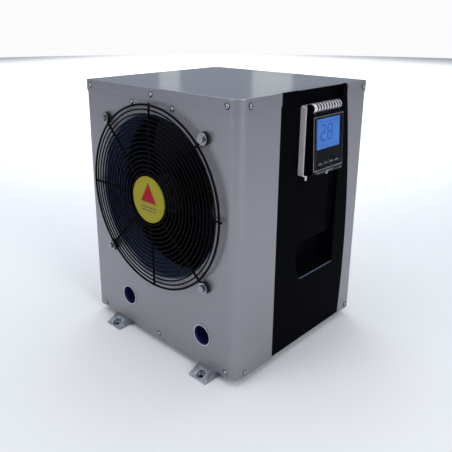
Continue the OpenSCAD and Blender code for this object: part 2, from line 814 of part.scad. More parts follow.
// From the reversing valve to the water heat exchanger, and from the valve to the air coil.
module gas_pipe() {
    y_water = valve_at[1] + valve_port[0];
    y_coil = valve_at[1] + valve_port[2];
    valve_top = valve_at[2] + valve_r - braze;
    front_y = bay_y - 24;
    end_x = shell_x[1] - 14;
    color("peru") in_cabinet() {
        pipe([
            [valve_at[0], y_water, valve_top], [valve_at[0], y_water, gas_z], [gas_x, y_water - 92, gas_z],
            [gas_x, front_y, gas_z], [gas_x, front_y, port_z], [end_x, front_y, port_z],
            [end_x, shell_y + shell_r - braze, port_z]], pipe_r);
        pipe([
            [valve_at[0], y_coil, valve_top], [valve_at[0], y_coil, coil_gas_z], [valve_at[0], coil_mid_y, coil_gas_z],
            [coil_right_x + end_t, coil_mid_y, coil_gas_z]], pipe_r);
    }
}

drier_at = [330, 205, 120];
drier_r = 9;
drier_len = 70;
module filter_drier() {
    cone = 10;
    color("peru") in_cabinet() translate([drier_at[0], drier_at[1], drier_at[2]]) rotate_extrude() polygon([
        [0, 0], [thin_r + 0.5, 0], [drier_r, cone], [drier_r, drier_len - cone], [thin_r + 0.5, drier_len], [0, drier_len]]);
}
exp_at = [330, 205, 230];
module expansion_valve() {
    color("goldenrod") in_cabinet() translate(exp_at) {
        cylinder(r = 8, h = 20);
        translate([0, 0, 20]) cylinder(r = 16, h = 30);
        rod_x([-16, 0, 8], 5, 12);
    }
}
// From the exchanger through the drier and the expansion valve to the air coil.
module liquid_pipe() {
    out_x = exp_at[0] - 16;
    out_z = exp_at[2] + 8;
    side_x = 304;
    color("peru") in_cabinet() {
        pipe([[drier_at[0], drier_at[1], drier_at[2] + drier_len], exp_at], thin_r);
        pipe([drier_at, [drier_at[0], drier_at[1], liquid_low_z],
            [drier_at[0], shell_y + shell_r - braze, liquid_low_z]], thin_r);
        pipe([[out_x, exp_at[1], out_z], [side_x, exp_at[1], out_z], [side_x, exp_at[1], liquid_z],
            [side_x, coil_mid_y, liquid_z], [coil_right_x + end_t, coil_mid_y, liquid_z]], thin_r);
    }
}

// ---------- water circuit ----------

shell_wall = 4;
stub_end = shell_y - 30;
module exchanger_shell() {
    len = shell_x[1] - shell_x[0];
    color("#3a3c40") in_cabinet() difference() {
        translate([shell_x[0], shell_y, port_z]) rotate([0, 90, 0]) rotate_extrude() polygon([
            [0, 0], [shell_r - 14, 0], [shell_r, 12], [shell_r, len - 12], [shell_r - 14, len], [0, len],
            [0, len - shell_wall], [shell_r - 16, len - shell_wall], [shell_r - shell_wall, len - 14],
            [shell_r - shell_wall, 14], [shell_r - 16, shell_wall], [0, shell_wall]]);
        at_ports() cylinder(r = port_bore_d / 2 + 5, h = shell_y - 5);
        rod_z([port_right_x, shell_y, port_z + 30], 9, 30);
    }
}
// The coil that the refrigerant runs through: turns along the shell, joined by a header tube.
module titanium_coil() {
    turns = 10;
    wind_r = 34;
    tube = 5;
    pitch = 18;
    x0 = port_left_x + 34;
    color("slategray") in_cabinet() {
        for (i = [0 : turns - 1]) translate([x0 + i * pitch, shell_y, port_z]) rotate([0, 90, 0]) rotate_extrude()
            translate([wind_r, 0]) circle(r = tube, $fn = 32);
        rod_x([x0, shell_y, port_z + wind_r], tube - 0.4, (turns - 1) * pitch);
    }
}
module exchanger_saddles() {
    color("#2c2c2e") in_cabinet() for (x = [150, 300]) difference() {
        translate([x, shell_y - 44, pan_floor]) cube([8, 88, 34]);
        rod_x([x - 1, shell_y, port_z], shell_r, 10);
    }
}
module water_stub(x) {
    flange_r = port_bore_d / 2 + 9;
    flange_y = 5;
    color("#1c2060") in_cabinet() translate([x, 0, port_z]) difference() {
        union() {
            rod_y([0, sheet + 3, 0], port_bore_d / 2 + 4, stub_end - sheet - 3 + 6);
            rod_y([0, sheet + 3, 0], flange_r, flange_y);
        }
        rod_y([0, 0, 0], port_bore_d / 2, stub_end + 30);
    }
}
module water_inlet() {
    water_stub(port_left_x);
}
module water_outlet() {
    water_stub(port_right_x);
}
module port_seals() {
    color("gainsboro") in_cabinet() at_ports() difference() {
        union() {
            translate([0, 0, sheet]) cylinder(r = port_bore_d / 2 + 9, h = 3);
            translate([0, 0, -1.2]) cylinder(r = port_hole_r - 0.1, h = sheet + 2.4);
            translate([0, 0, -1.4]) cylinder(r = port_hole_r + 1.2, h = 1.4);
        }
        translate([0, 0, -3]) cylinder(r = port_bore_d / 2, h = 10);
    }
}
module flow_switch() {
    color("#d8d4c4") in_cabinet() {
        rod_z([port_right_x, shell_y, port_z + shell_r - 8], 8.8, 20);
        rod_z([port_right_x, shell_y, port_z + shell_r + 3], 14, 8);
        translate([port_right_x - 16, shell_y - 16, port_z + shell_r + 11]) cube([32, 32, 34]);
    }
}

// ---------- electrics ----------

box_from = [300, 166, 336];
box_size = [118, 216, 190];
box_t = 1.5;
module electrical_box() {
    color("lightgray") in_cabinet() difference() {
        translate(box_from) cube(box_size);
        translate(box_from + [box_t, box_t, box_t]) cube([box_size[0], box_size[1] - 2 * box_t, box_size[2] - 2 * box_t]);
        translate(box_from + [60, 60, -1]) cylinder(r = 11, h = 4);
    }
}
module box_cover() {
    color("gainsboro") in_cabinet() translate(box_from + [box_size[0], 0, 0]) cube([box_t, box_size[1], box_size[2]]);
}
module circuit_board() {
    color("darkgreen") in_cabinet() translate(box_from + [box_t, 12, 12]) {
        for (y = [8, 150], z = [8, 150]) rod_x([0, y, z], 3, 8);
        translate([8, 0, 0]) cube([1.6, 160, 160]);
        translate([9.6, 20, 96]) cube([26, 44, 40]);
        translate([9.6, 90, 100]) cube([20, 30, 24]);
        for (y = [30 : 28 : 114]) translate([9.6, y, 30]) cube([15, 18, 14]);
    }
}
module capacitor() {
    color("#c8c8cc") in_cabinet() translate(box_from + [box_t, 196, 0]) {
        rod_z([20, 0, 70], 16, 62);
        rod_z([20, 0, 132], 12, 5);
        translate([0, -14, 96]) cube([6, 28, 12]);
    }
}
module terminal_block() {
    color("#e6e2d6") in_cabinet() translate(box_from + [box_t, 60, 0]) difference() {
        translate([70, 0, box_t]) cube([30, 90, 24]);
        for (i = [0 : 4]) rod_z([85, 13 + i * 16, 12], 4, 20);
    }
}
module cable_gland() {
    nut_r = 14;
    color("#222222") in_cabinet() difference() {
        union() {
            rod_y([gland_at[0], cab_d - 12, gland_at[1]], gland_r - 0.1, 22);
            translate([gland_at[0], cab_d - sheet - 5, gland_at[1]]) rotate([-90, 0, 0]) cylinder(r = nut_r, h = 5, $fn = 6);
            translate([gland_at[0], cab_d, gland_at[1]]) rotate([-90, 0, 0]) cylinder(r = nut_r, h = 6, $fn = 6);
            translate([gland_at[0], cab_d + 6, gland_at[1]]) rotate([-90, 0, 0]) rotate_extrude() polygon([
                [0, 0], [12.5, 0], [12.5, 7], [9, 13], [0, 13]]);
        }
        rod_y([gland_at[0], cab_d - 14, gland_at[1]], 5, 40);
    }
}
module drain_spout() {
    color("#202020") in_cabinet() translate([drain_at[0], drain_at[1], 0]) difference() {
        union() {
            translate([0, 0, pan_floor]) cylinder(r = drain_r + 5, h = 2);
            translate([0, 0, -3]) cylinder(r = drain_r - 0.1, h = pan_floor + 4);
            translate([0, 0, -12]) cylinder(r = drain_r - 2, h = 10);
        }
        translate([0, 0, -13]) cylinder(r = drain_r - 4, h = 20);
    }
}

// ---------- controller ----------

floor_x = cab_w - channel_depth;
ctl_y0 = (channel_y[0] + channel_y[1]) / 2 - ctl_w / 2 + 2;
ctl_z = [373, 505];
base_t = 12;
base_wall = 2.5;
frame_top = ctl_z[1] + 7;
barrel_r = 8.8;
barrel_gap = 0.4;
pin_r = 2;
ear_w = 5;
// The black housing stands just inside the frame's walls, and its ears are at its two ends.
housing_y = [ctl_y0 + base_wall + 0.05, ctl_y0 + ctl_w - base_wall - 0.05];
barrel_y = [housing_y[0] + ear_w + barrel_gap, housing_y[1] - ear_w - barrel_gap];
barrel_x = floor_x + barrel_out;
barrel_z = ctl_z[1] + 2;
// The face leans back: it stands furthest out at its bottom edge.
face_low = [floor_x + 33, ctl_z[0] + 12];
face_high = [floor_x + 27.5, ctl_z[1] - 12];
face_lean = atan((face_low[0] - face_high[0]) / (face_high[1] - face_low[1]));
face_len = norm(face_high - face_low);

// Children are drawn on the face: X across it towards the back, Y up it, Z out of it.
module on_face() {
    translate([face_low[0], ctl_y0, face_low[1]]) rotate([0, -face_lean, 0]) rotate([90, 0, 90]) children();
}

hinge_room = 0.6;

module controller_base() {
    lug = [3, 4, 14];
    color("silver") in_cabinet() difference() {
        union() {
            soft_box_x([floor_x, ctl_y0, ctl_z[0]], [base_t, ctl_w, frame_top - ctl_z[0]], 5);
            // Two small lugs stand below the frame.
            for (y = [ctl_y0 + 23, ctl_y0 + ctl_w - 10])
                translate([floor_x, y, ctl_z[0] - lug[2]]) cube(lug + [0, 0, 1]);
        }
        translate([floor_x + base_wall, ctl_y0 + base_wall, ctl_z[0] + base_wall])
            cube([base_t, ctl_w - 2 * base_wall, frame_top - ctl_z[0] - 2 * base_wall]);
        rod_y([barrel_x, ctl_y0 + base_wall, barrel_z], barrel_r + hinge_room, ctl_w - 2 * base_wall);
    }
}

display_at = [15.5, 42];
display_size = [80, 59.5];
keys = 4;
key_size = [14, 7];
key_z = 10;
key_pitch = 19;
key_gap = 0.35;
key_h = 4;
key_proud = 0.8;
key_pocket = key_h - key_proud + key_travel + 0.6;
key_x0 = (ctl_w - (keys - 1) * key_pitch - key_size[0]) / 2;
recess = 2.5;

module controller_housing() {
    z0 = ctl_z[0] + base_wall;
    ear_z = face_high[1] - 5;
    color("#17181c") in_cabinet() difference() {
        union() {
            translate([0, housing_y[0], 0]) mirror([0, 1, 0]) rotate([90, 0, 0])
                linear_extrude(housing_y[1] - housing_y[0]) polygon([
                    [floor_x + base_wall, z0], [floor_x + base_t + 4, z0], [face_low[0] - 3, face_low[1] - 5],
                    face_low, face_high, [face_high[0] - 6, face_high[1] + 2], [floor_x + base_wall, face_high[1] + 2]]);
            // Two ears hold the hinge pin of the flip cover.
            for (y = [housing_y[0], housing_y[1] - ear_w]) {
                rod_y([barrel_x, y, barrel_z], barrel_r, ear_w);
                translate([floor_x + base_wall, y, ear_z])
                    cube([barrel_out - base_wall, ear_w, frame_top - base_wall - 0.05 - ear_z]);
            }
        }
        rod_y([barrel_x, housing_y[0] - 1, barrel_z], pin_r, ctl_w);
        on_face() {
            translate([display_at[0], display_at[1], -recess]) cube([display_size[0], display_size[1], 10]);
            for (i = [0 : keys - 1]) translate([key_x0 + i * key_pitch - key_gap, key_z - key_gap, -key_pocket])
                cube([key_size[0] + 2 * key_gap, key_size[1] + 2 * key_gap, 10]);
        }
    }
}

module controller_bezel() {
    rim = 2;
    edge = base_wall + 0.3;
    thick = 0.9;
    color("silver") in_cabinet() on_face() difference() {
        translate([edge, 1, 0]) linear_extrude(thick) soft_rect(ctl_w - 2 * edge, face_len - 2, 4);
        translate([edge + rim, 1 + rim, -1]) linear_extrude(thick + 2)
            soft_rect(ctl_w - 2 * edge - 2 * rim, face_len - 2 - 2 * rim, 3);
    }
}

module display() {
    color("#4878c0") in_cabinet() on_face()
        translate([display_at[0] + 0.1, display_at[1] + 0.1, -recess]) cube([display_size[0] - 0.2, display_size[1] - 0.2, 1.6]);
}

module key(i) {
    color("#2a2c32") in_cabinet() on_face() translate([key_x0 + i * key_pitch, key_z, key_proud - key_h])
        linear_extrude(key_h) soft_rect(key_size[0], key_size[1], 2);
}
module key_mode() {
    key(0);
}
module key_power() {
    key(1);
}
module key_up() {
    key(2);
}
module key_down() {
    key(3);
}

module cover_barrel() {
    flute_r = 0.9;
    flute_end = 4;
    color("gainsboro") in_cabinet() difference() {
        rod_y([barrel_x, barrel_y[0], barrel_z], barrel_r, barrel_y[1] - barrel_y[0]);
        for (a = [-20 : 16 : 76]) translate([barrel_x + barrel_r * sin(a), 0, barrel_z + barrel_r * cos(a)])
            rod_y([0, barrel_y[0] + flute_end, 0], flute_r, barrel_y[1] - barrel_y[0] - 2 * flute_end, $fn = 24);
        rod_y([barrel_x, ctl_y0, barrel_z], pin_r + 0.05, ctl_w);
    }
}

cover_t = 2;
cover_off = 1.6;
// The clear plate, from the barrel down over the face, with a finger lip at its lower edge.
module clear_cover() {
    y0 = barrel_y[0];
    w = barrel_y[1] - barrel_y[0];
    down = [face_low[0] + cover_off, face_low[1]];
    up = [face_high[0] + cover_off, face_high[1] + 1];
    color("#b8c8d8", 0.4) in_cabinet() difference() {
        translate([0, y0 + w, 0]) rotate([90, 0, 0]) linear_extrude(w) polygon([
            [down[0] - 0.3, down[1] - 2], [down[0] + cover_t + 4, down[1] - 3.5], [down[0] + cover_t + 4, down[1] - 1.5],
            [down[0] + cover_t, down[1] + 1], [up[0] + cover_t, up[1]], [barrel_x + barrel_r - 2, barrel_z - 2],
            [barrel_x + barrel_r - 4, barrel_z - 6], [up[0], up[1] - 1], down]);
        rod_y([barrel_x, y0 - 1, barrel_z], barrel_r, w + 2);
    }
}
module cover_pin() {
    color("silver") in_cabinet() rod_y([barrel_x, housing_y[0], barrel_z], pin_r, housing_y[1] - housing_y[0]);
}

// ---------- nodes ----------

foot_rail_left();
foot_rail_right();
base_pan();
front_panel();
left_panel();
rear_panel();
corner_strip();
side_panel();
top_cover();
cabinet_screws();
fan_shroud();
fan_guard();
guard_bolts();
guard_washers();
guard_spacers();
guard_badge();
fan_rotor();
motor_shaft();
fan_motor();
motor_bracket();
coil_fins();
coil_tubes();
coil_end_plates();
partition_plate();
compressor();
compressor_grommets();
compressor_bolts();
accumulator();
reversing_valve();
expansion_valve();
filter_drier();
discharge_pipe();
suction_pipe();
gas_pipe();
liquid_pipe();
exchanger_shell();
titanium_coil();
exchanger_saddles();
water_inlet();
water_outlet();
port_seals();
flow_switch();
electrical_box();
box_cover();
circuit_board();
capacitor();
terminal_block();
cable_gland();
drain_spout();
controller_base();
controller_housing();
controller_bezel();
display();
key_mode();
key_power();
key_up();
key_down();
cover_barrel();
clear_cover();
cover_pin();
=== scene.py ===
# %% [markdown]
# # A pool and spa heat pump, finished by hand
# This lesson takes the measured model of a small heat pump and gives it its looks. The cabinet,
# the fan guard, the feet and the controller come from the CAD frame, so every place below is read
# from that frame and nothing has to be fitted. We start by loading it and keeping its size.

# %% Load the measured frame
import bmesh
import bpy
import json
import math
from mathutils import Matrix, Vector


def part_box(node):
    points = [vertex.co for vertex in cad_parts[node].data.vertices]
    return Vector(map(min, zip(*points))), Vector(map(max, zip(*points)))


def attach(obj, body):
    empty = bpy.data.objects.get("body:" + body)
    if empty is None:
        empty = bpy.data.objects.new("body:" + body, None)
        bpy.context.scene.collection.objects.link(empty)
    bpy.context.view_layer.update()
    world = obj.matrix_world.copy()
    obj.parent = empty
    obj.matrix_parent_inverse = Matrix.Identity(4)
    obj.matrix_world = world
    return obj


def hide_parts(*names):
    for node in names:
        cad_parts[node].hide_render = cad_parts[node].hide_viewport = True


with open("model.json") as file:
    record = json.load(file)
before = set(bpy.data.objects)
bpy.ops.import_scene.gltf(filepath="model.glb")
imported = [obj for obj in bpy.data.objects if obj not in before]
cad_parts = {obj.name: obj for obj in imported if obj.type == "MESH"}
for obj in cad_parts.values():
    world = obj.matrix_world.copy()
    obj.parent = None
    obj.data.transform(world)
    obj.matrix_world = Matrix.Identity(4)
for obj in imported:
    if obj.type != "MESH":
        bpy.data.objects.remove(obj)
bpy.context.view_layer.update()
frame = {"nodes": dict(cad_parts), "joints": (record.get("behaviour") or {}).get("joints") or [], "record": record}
NODES = frame["nodes"]
MM = 0.001

# %% [markdown]
# ## Places to measure from
# The faces of the cabinet and the middle of the fan are needed again and again, so they are read
# once. The frame is in metres, and so is every length in this lesson.


# %% Places worked out from the frame
def middle(node):
    low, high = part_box(node)
    return (low + high) / 2


fan_centre = middle("motor_shaft")
front_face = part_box("front_panel")[0].y
right_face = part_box("front_panel")[1].x
left_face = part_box("front_panel")[0].x
rear_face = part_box("rear_panel")[1].y
guard_low, guard_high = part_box("fan_guard")
guard_radius = (guard_high.x - guard_low.x) / 2
print("fan centre", [round(v, 4) for v in fan_centre], "guard radius", round(guard_radius, 4))

# %% [markdown]
# ## The camera
# The unit is looked at from its front right corner, from a little above, at about the distance of
# someone standing in front of it. A slightly long lens keeps the edges nearly parallel.

# %% Camera
camera_data = bpy.data.cameras.new("camera")
camera_data.sensor_width = 36
camera_data.lens = 43.2
camera_data.shift_x = 0.036
camera_data.shift_y = -0.093
tilt = math.radians(72.68)
turn = math.radians(44.46)
camera = bpy.data.objects.new("camera", camera_data)
camera.location = (0.7965, -0.865, 0.692)
camera.rotation_euler = (tilt, 0, turn)
bpy.context.scene.collection.objects.link(camera)
bpy.context.scene.camera = camera
print("camera at", tuple(camera.location))

# %% [markdown]
# ## A pale floor
# The floor is one large disc of matte paper. It runs far past the unit, so that no edge of it
# shows behind.


# %% Floor
def node_material(name):
    material = bpy.data.materials.new(name)
    material.use_nodes = True
    return material


floor_radius = 9
bpy.ops.object.select_all(action="DESELECT")
bpy.ops.mesh.primitive_circle_add(vertices=96, radius=floor_radius, fill_type="NGON", location=(0, 0, 0))
floor = bpy.context.object
floor.name = "floor"
floor_material = node_material("floor_paper")
floor_shader = floor_material.node_tree.nodes["Principled BSDF"]
floor_shader.inputs["Base Color"].default_value = (0.8, 0.8, 0.81, 1)
floor_shader.inputs["Roughness"].default_value = 0.85
floor.data.materials.append(floor_material)
print("floor", round(floor.dimensions.x, 1), "across")

# %% [markdown]
# ## The sky
# The world is dim for the unit itself, so that its black parts stay black, and pale to the camera.

# %% World
world = bpy.data.worlds.new("studio")
world.use_nodes = True
bpy.context.scene.world = world
sky = world.node_tree
dim_sky = sky.nodes["Background"]
dim_sky.inputs["Color"].default_value = (0.8, 0.88, 1.0, 1)
dim_sky.inputs["Strength"].default_value = 0.35
pale_sky = sky.nodes.new("ShaderNodeBackground")
pale_sky.inputs["Color"].default_value = (0.97, 0.97, 0.98, 1)
seen_by = sky.nodes.new("ShaderNodeLightPath")
choice = sky.nodes.new("ShaderNodeMixShader")
sky.links.new(seen_by.outputs["Is Camera Ray"], choice.inputs[0])
sky.links.new(dim_sky.outputs[0], choice.inputs[1])
sky.links.new(pale_sky.outputs[0], choice.inputs[2])
sky.links.new(choice.outputs[0], sky.nodes["World Output"].inputs["Surface"])
bpy.context.scene.view_settings.view_transform = "Standard"
print("world", world.name, "nodes", len(sky.nodes))

# %% [markdown]
# ## The lights
# Big soft lights act like a photographer's tent: painted metal shows its sheen only when it has
# something large and bright to reflect. Three of them light the unit. The others are helpers:
# one keeps the far floor as pale as the floor near the unit, a narrow strip behind the unit draws
# a thin bright line in rounded edges, and two narrow windows give the glossy lid its pale bands.


# %% Lights
def area_light(name, place, target, power, size, tint=(1, 1, 1)):
    data = bpy.data.lights.new(name, "AREA")
    data.shape = "RECTANGLE"
    data.size, data.size_y = size
    data.energy = power
    data.color = tint
    lamp = bpy.data.objects.new(name, data)
    lamp.location = place
    lamp.rotation_euler = (Vector(target) - Vector(place)).to_track_quat("-Z", "Y").to_euler()
    bpy.context.scene.collection.objects.link(lamp)
    return lamp


area_light("sky_softbox", place=(-0.6, 0.6, 3.4), target=(-0.3, 0.2, 0), power=118, size=(5.5, 5.5),
           tint=(0.9, 0.95, 1))
area_light("right_softbox", place=(2.3, -0.5, 1.5), target=(0.1, 0, 0.3), power=26, size=(0.9, 1.6),
           tint=(1, 0.98, 0.97))
area_light("front_softbox", place=(-0.7, -2.5, 1.5), target=(0, 0, 0.3), power=21, size=(1.5, 1.4),
           tint=(1, 0.99, 0.98))
far_light = area_light("far_softbox", place=(-4.0, 4.0, 3.2), target=(-4.0, 4.0, 0), power=220,
                       size=(6.5, 6.5))
far_light.data.spread = math.radians(70)
far_light.visible_glossy = False
far_light.visible_camera = False
edge_light = area_light("edge_strip", place=(0.45, 2.9, 0.7), target=(0.2, 0.1, 0.35), power=5,
                        size=(0.35, 1.5))
edge_light.visible_camera = False
window_height = 1.0
lid_level = (0, 0, 0.55)
for name, place, power, width in (("window_left", (-2.4, 1.95, 1.0), 0.14, 0.16),
                                  ("window_right", (-1.75, 2.4, 1.0), 0.3, 0.3)):
    window = area_light(name, place, lid_level, power, (width, window_height), tint=(0.97, 1, 0.9))
    window.visible_camera = False

# %% [markdown]
# ## Small tools for shader nodes
# A painted or moulded surface is never one flat colour. Its effects are built from many small
# nodes, so these tools add one node each and link it. A link is always written the same way: as
# a pair of the node that it comes from and that node's socket.

# %% Tools for shader nodes
FLOAT, COLOUR, VECTOR = "NodeSocketFloat", "NodeSocketColor", "NodeSocketVector"
# A mix node keeps a set of sockets for each kind of data: first input, second input, output.
MIX_SOCKETS = {"RGBA": (6, 7, 2), "FLOAT": (2, 3, 0)}
# Noise and random tones run from 0 to 1, so this is what they are on average.
AVERAGE = 0.5
# Every effect is given a place on the surface and the colour so far.
SURFACE = [("Vector", VECTOR, None), ("Colour", COLOUR, (0.5, 0.5, 0.5, 1))]


def new_group(name, inputs, outputs):
    """A shader group. Inputs are (label, kind, value), and outputs are (label, kind)."""
    group = bpy.data.node_groups.new(name, "ShaderNodeTree")
    for label, kind, value in inputs:
        socket = group.interface.new_socket(name=label, in_out="INPUT", socket_type=kind)
        if value is not None:
            socket.default_value = value
    for label, kind in outputs:
        group.interface.new_socket(name=label, in_out="OUTPUT", socket_type=kind)
    return group, group.nodes.new("NodeGroupInput"), group.nodes.new("NodeGroupOutput")


def give(node, values):
    """Sets plain values on a node's inputs."""
    for label, value in values.items():
        node.inputs[label].default_value = value


def add(tree, kind, values=None, **settings):
    """A new node with its settings and its plain input values."""
    made = tree.nodes.new(kind)
    for key, value in settings.items():
        setattr(made, key, value)
    give(made, values or {})
    return made


def feed(tree, source, target, slot):
    """Gives an input a plain value, or links it from a (node, socket) pair."""
    if isinstance(source, tuple) and isinstance(source[0], bpy.types.Node):
        tree.links.new(source[0].outputs[source[1]], target.inputs[slot])
    else:
        target.inputs[slot].default_value = source


def reckon(tree, operation, *terms):
    """A maths node. Each term is a number or a (node, socket) pair."""
    made = add(tree, "ShaderNodeMath", operation=operation)
    for slot, term in enumerate(terms):
        feed(tree, term, made, slot)
    return made, 0


def mixed(tree, factor, first, second, kind="RGBA"):
    """Goes from first, where the factor is 0, to second, where it is 1."""
    first_slot, second_slot, made_slot = MIX_SOCKETS[kind]
    made = add(tree, "ShaderNodeMix", data_type=kind)
    feed(tree, factor, made, 0)
    feed(tree, first, made, first_slot)
    feed(tree, second, made, second_slot)
    return made, made_slot


def brightened(tree, colour, amount):
    made = add(tree, "ShaderNodeVectorMath", operation="SCALE")
    feed(tree, colour, made, 0)
    feed(tree, amount, made, "Scale")
    return made, 0


def noise(tree, vector, scale, detail):
    made = add(tree, "ShaderNodeTexNoise", {"Detail": detail})
    feed(tree, vector, made, "Vector")
    feed(tree, scale, made, "Scale")
    return made, "Fac"


def parts_of(tree, vector):
    """A node that gives a vector's X, Y and Z."""
    made = add(tree, "ShaderNodeSeparateXYZ")
    feed(tree, vector, made, 0)
    return made


def looking_up(tree, limit):
    """1 on faces whose normal rises by more than the limit, and 0 on the others."""
    facing = add(tree, "ShaderNodeNewGeometry")
    return reckon(tree, "GREATER_THAN", (parts_of(tree, (facing, "Normal")), "Z"), limit)


def emboss(tree, height, strength, distance):
    """Bumps the surface of the material by a height."""
    relief = add(tree, "ShaderNodeBump", {"Strength": strength, "Distance": distance})
    feed(tree, height, relief, "Height")
    feed(tree, (relief, "Normal"), tree.nodes["Principled BSDF"], "Normal")


print("tools ready; a colour mix feeds sockets", MIX_SOCKETS["RGBA"][:2])

# %% [markdown]
# ## Surface effects that several materials share
# Each effect is a small shader group: it is built once, and every material that uses it gives it
# its own values. All of them read Object coordinates, so the patterns have a real size in metres.
#
# **Mottle** gives a slow change of tone and a fine grain, with matching roughness and height. It
# stands for orange peel in paint, the skin of moulded plastic, or tarnish, depending on its scale.

# %% Mottle group
mottle, given, result = new_group(
    "mottle",
    SURFACE + [("Tone", FLOAT, 0.08), ("Broad Scale", FLOAT, 9.0), ("Grain Scale", FLOAT, 700.0),
               ("Grain", FLOAT, 0.1), ("Roughness", FLOAT, 0.4), ("Roughness Spread", FLOAT, 0.06)],
    [("Colour", COLOUR), ("Roughness", FLOAT), ("Height", FLOAT)])
broad = noise(mottle, (given, "Vector"), (given, "Broad Scale"), detail=4.0)
grain = noise(mottle, (given, "Vector"), (given, "Grain Scale"), detail=2.0)
tone_swing = reckon(mottle, "SUBTRACT", broad, AVERAGE)
grain_swing = reckon(mottle, "SUBTRACT", grain, AVERAGE)
tone_amount = reckon(mottle, "MULTIPLY", tone_swing, (given, "Tone"))
grain_amount = reckon(mottle, "MULTIPLY", grain_swing, (given, "Grain"))
brightness = reckon(mottle, "ADD", reckon(mottle, "ADD", tone_amount, grain_amount), 1.0)
rough = reckon(mottle, "MULTIPLY_ADD", tone_swing, (given, "Roughness Spread"), (given, "Roughness"))
feed(mottle, brightened(mottle, (given, "Colour"), brightness), result, "Colour")
feed(mottle, rough, result, "Roughness")
feed(mottle, grain, result, "Height")
print("group", mottle.name, "nodes", len(mottle.nodes))

# %% [markdown]
# **Flake** is the sparkle of metallic paint: tiny cells, each a little lighter or darker.
# **Spangle** is the frost pattern of galvanised sheet: much larger cells with soft differences.
# Both are the same idea, a random tone per Voronoi cell, so one group makes both.

# %% Cell tone group
cells, given, result = new_group(
    "cell_tone",
    SURFACE + [("Scale", FLOAT, 1500.0), ("Strength", FLOAT, 0.2)],
    [("Colour", COLOUR)])
voronoi = add(cells, "ShaderNodeTexVoronoi")
feed(cells, (given, "Vector"), voronoi, "Vector")
feed(cells, (given, "Scale"), voronoi, "Scale")
one_channel = add(cells, "ShaderNodeSeparateColor")
feed(cells, (voronoi, "Color"), one_channel, "Color")
cell_swing = reckon(cells, "SUBTRACT", (one_channel, "Red"), AVERAGE)
strength = reckon(cells, "MULTIPLY_ADD", cell_swing, (given, "Strength"), 1.0)
feed(cells, brightened(cells, (given, "Colour"), strength), result, "Colour")
print("group", cells.name, "nodes", len(cells.nodes))

# %% [markdown]
# **Weathering** darkens what is close to the ground, where splashes dry, and lays a trace of pale
# dust on faces that look up. It reads the height and the face's direction, not the camera.

# %% Weathering group
weather, given, result = new_group(
    "weathering",
    SURFACE + [("Splash", FLOAT, 0.15), ("Splash Height", FLOAT, 0.06), ("Dust", FLOAT, 0.03)],
    [("Colour", COLOUR)])
dried_splash, pale_dust = (0.03, 0.028, 0.025, 1), (0.5, 0.48, 0.44, 1)
lowness = add(weather, "ShaderNodeMapRange", {"From Min": 0.0, "To Min": 1.0, "To Max": 0.0})
feed(weather, (parts_of(weather, (given, "Vector")), "Z"), lowness, "Value")
feed(weather, (given, "Splash Height"), lowness, "From Max")
patches = noise(weather, (given, "Vector"), scale=45.0, detail=5.0)
splash = reckon(weather, "MULTIPLY", (lowness, 0), patches)
splash_amount = reckon(weather, "MULTIPLY", splash, (given, "Splash"))
darkened = mixed(weather, splash_amount, (given, "Colour"), dried_splash)
specks = noise(weather, (given, "Vector"), scale=160.0, detail=6.0)
dust_patch = reckon(weather, "MULTIPLY", looking_up(weather, limit=0.6), specks)
dust_amount = reckon(weather, "MULTIPLY", dust_patch, (given, "Dust"))
feed(weather, mixed(weather, dust_amount, darkened, pale_dust), result, "Colour")
print("group", weather.name, "nodes", len(weather.nodes))

# %% [markdown]
# ## From groups to finishes
# Nearly every part is paint, plastic, rubber or bare metal, so one function wires the groups to a
# Principled shader: mottle or cells for the tone, weathering on top, and the grain as a bump. The
# values that are the same all over, such as coat or metallic, are set on the shader itself.


# %% The finish function
def finish(name, colour, roughness, metallic=0.0, coat=0.0, coat_roughness=0.05, tone=0.08, grain=0.1,
           grain_scale=700.0, bump=0.02, rough_spread=0.06, cell_scale=None, cell_strength=0.2,
           splash=0.0, dust=0.02, stretch=(1, 1, 1), specular=0.5):
    material = node_material(name)
    tree = material.node_tree
    shader = tree.nodes["Principled BSDF"]
    give(shader, {"Metallic": metallic, "Coat Weight": coat, "Coat Roughness": coat_roughness,
                  "Specular IOR Level": specular})
    where = add(tree, "ShaderNodeTexCoord"), "Object"
    stretched = add(tree, "ShaderNodeMapping", {"Scale": stretch})
    feed(tree, where, stretched, "Vector")
    surface = add(tree, "ShaderNodeGroup", node_tree=mottle)
    give(surface, {"Colour": (*colour, 1), "Tone": tone, "Grain Scale": grain_scale, "Grain": grain,
                   "Roughness": roughness, "Roughness Spread": rough_spread})
    feed(tree, (stretched, "Vector"), surface, "Vector")
    colour_so_far = surface, "Colour"
    if cell_scale:
        sparkle = add(tree, "ShaderNodeGroup", node_tree=cells)
        give(sparkle, {"Scale": cell_scale, "Strength": cell_strength})
        feed(tree, where, sparkle, "Vector")
        feed(tree, colour_so_far, sparkle, "Colour")
        colour_so_far = sparkle, "Colour"
    outdoors = add(tree, "ShaderNodeGroup", node_tree=weather)
    give(outdoors, {"Splash": splash, "Dust": dust})
    feed(tree, where, outdoors, "Vector")
    feed(tree, colour_so_far, outdoors, "Colour")
    feed(tree, (outdoors, "Colour"), shader, "Base Color")
    feed(tree, (surface, "Roughness"), shader, "Roughness")
    emboss(tree, (surface, "Height"), strength=bump, distance=0.0004)
    return material


def opened(material):
    """The tree, the shader and the Object coordinates of a finish that gets more nodes."""
    tree = material.node_tree
    where = next(node for node in tree.nodes if node.bl_idname == "ShaderNodeTexCoord"), "Object"
    return tree, tree.nodes["Principled BSDF"], where


def source_of(shader, label):
    """What an input is linked from, as a (node, socket) pair."""
    link = shader.inputs[label].links[0]
    return link.from_node, link.from_socket.name


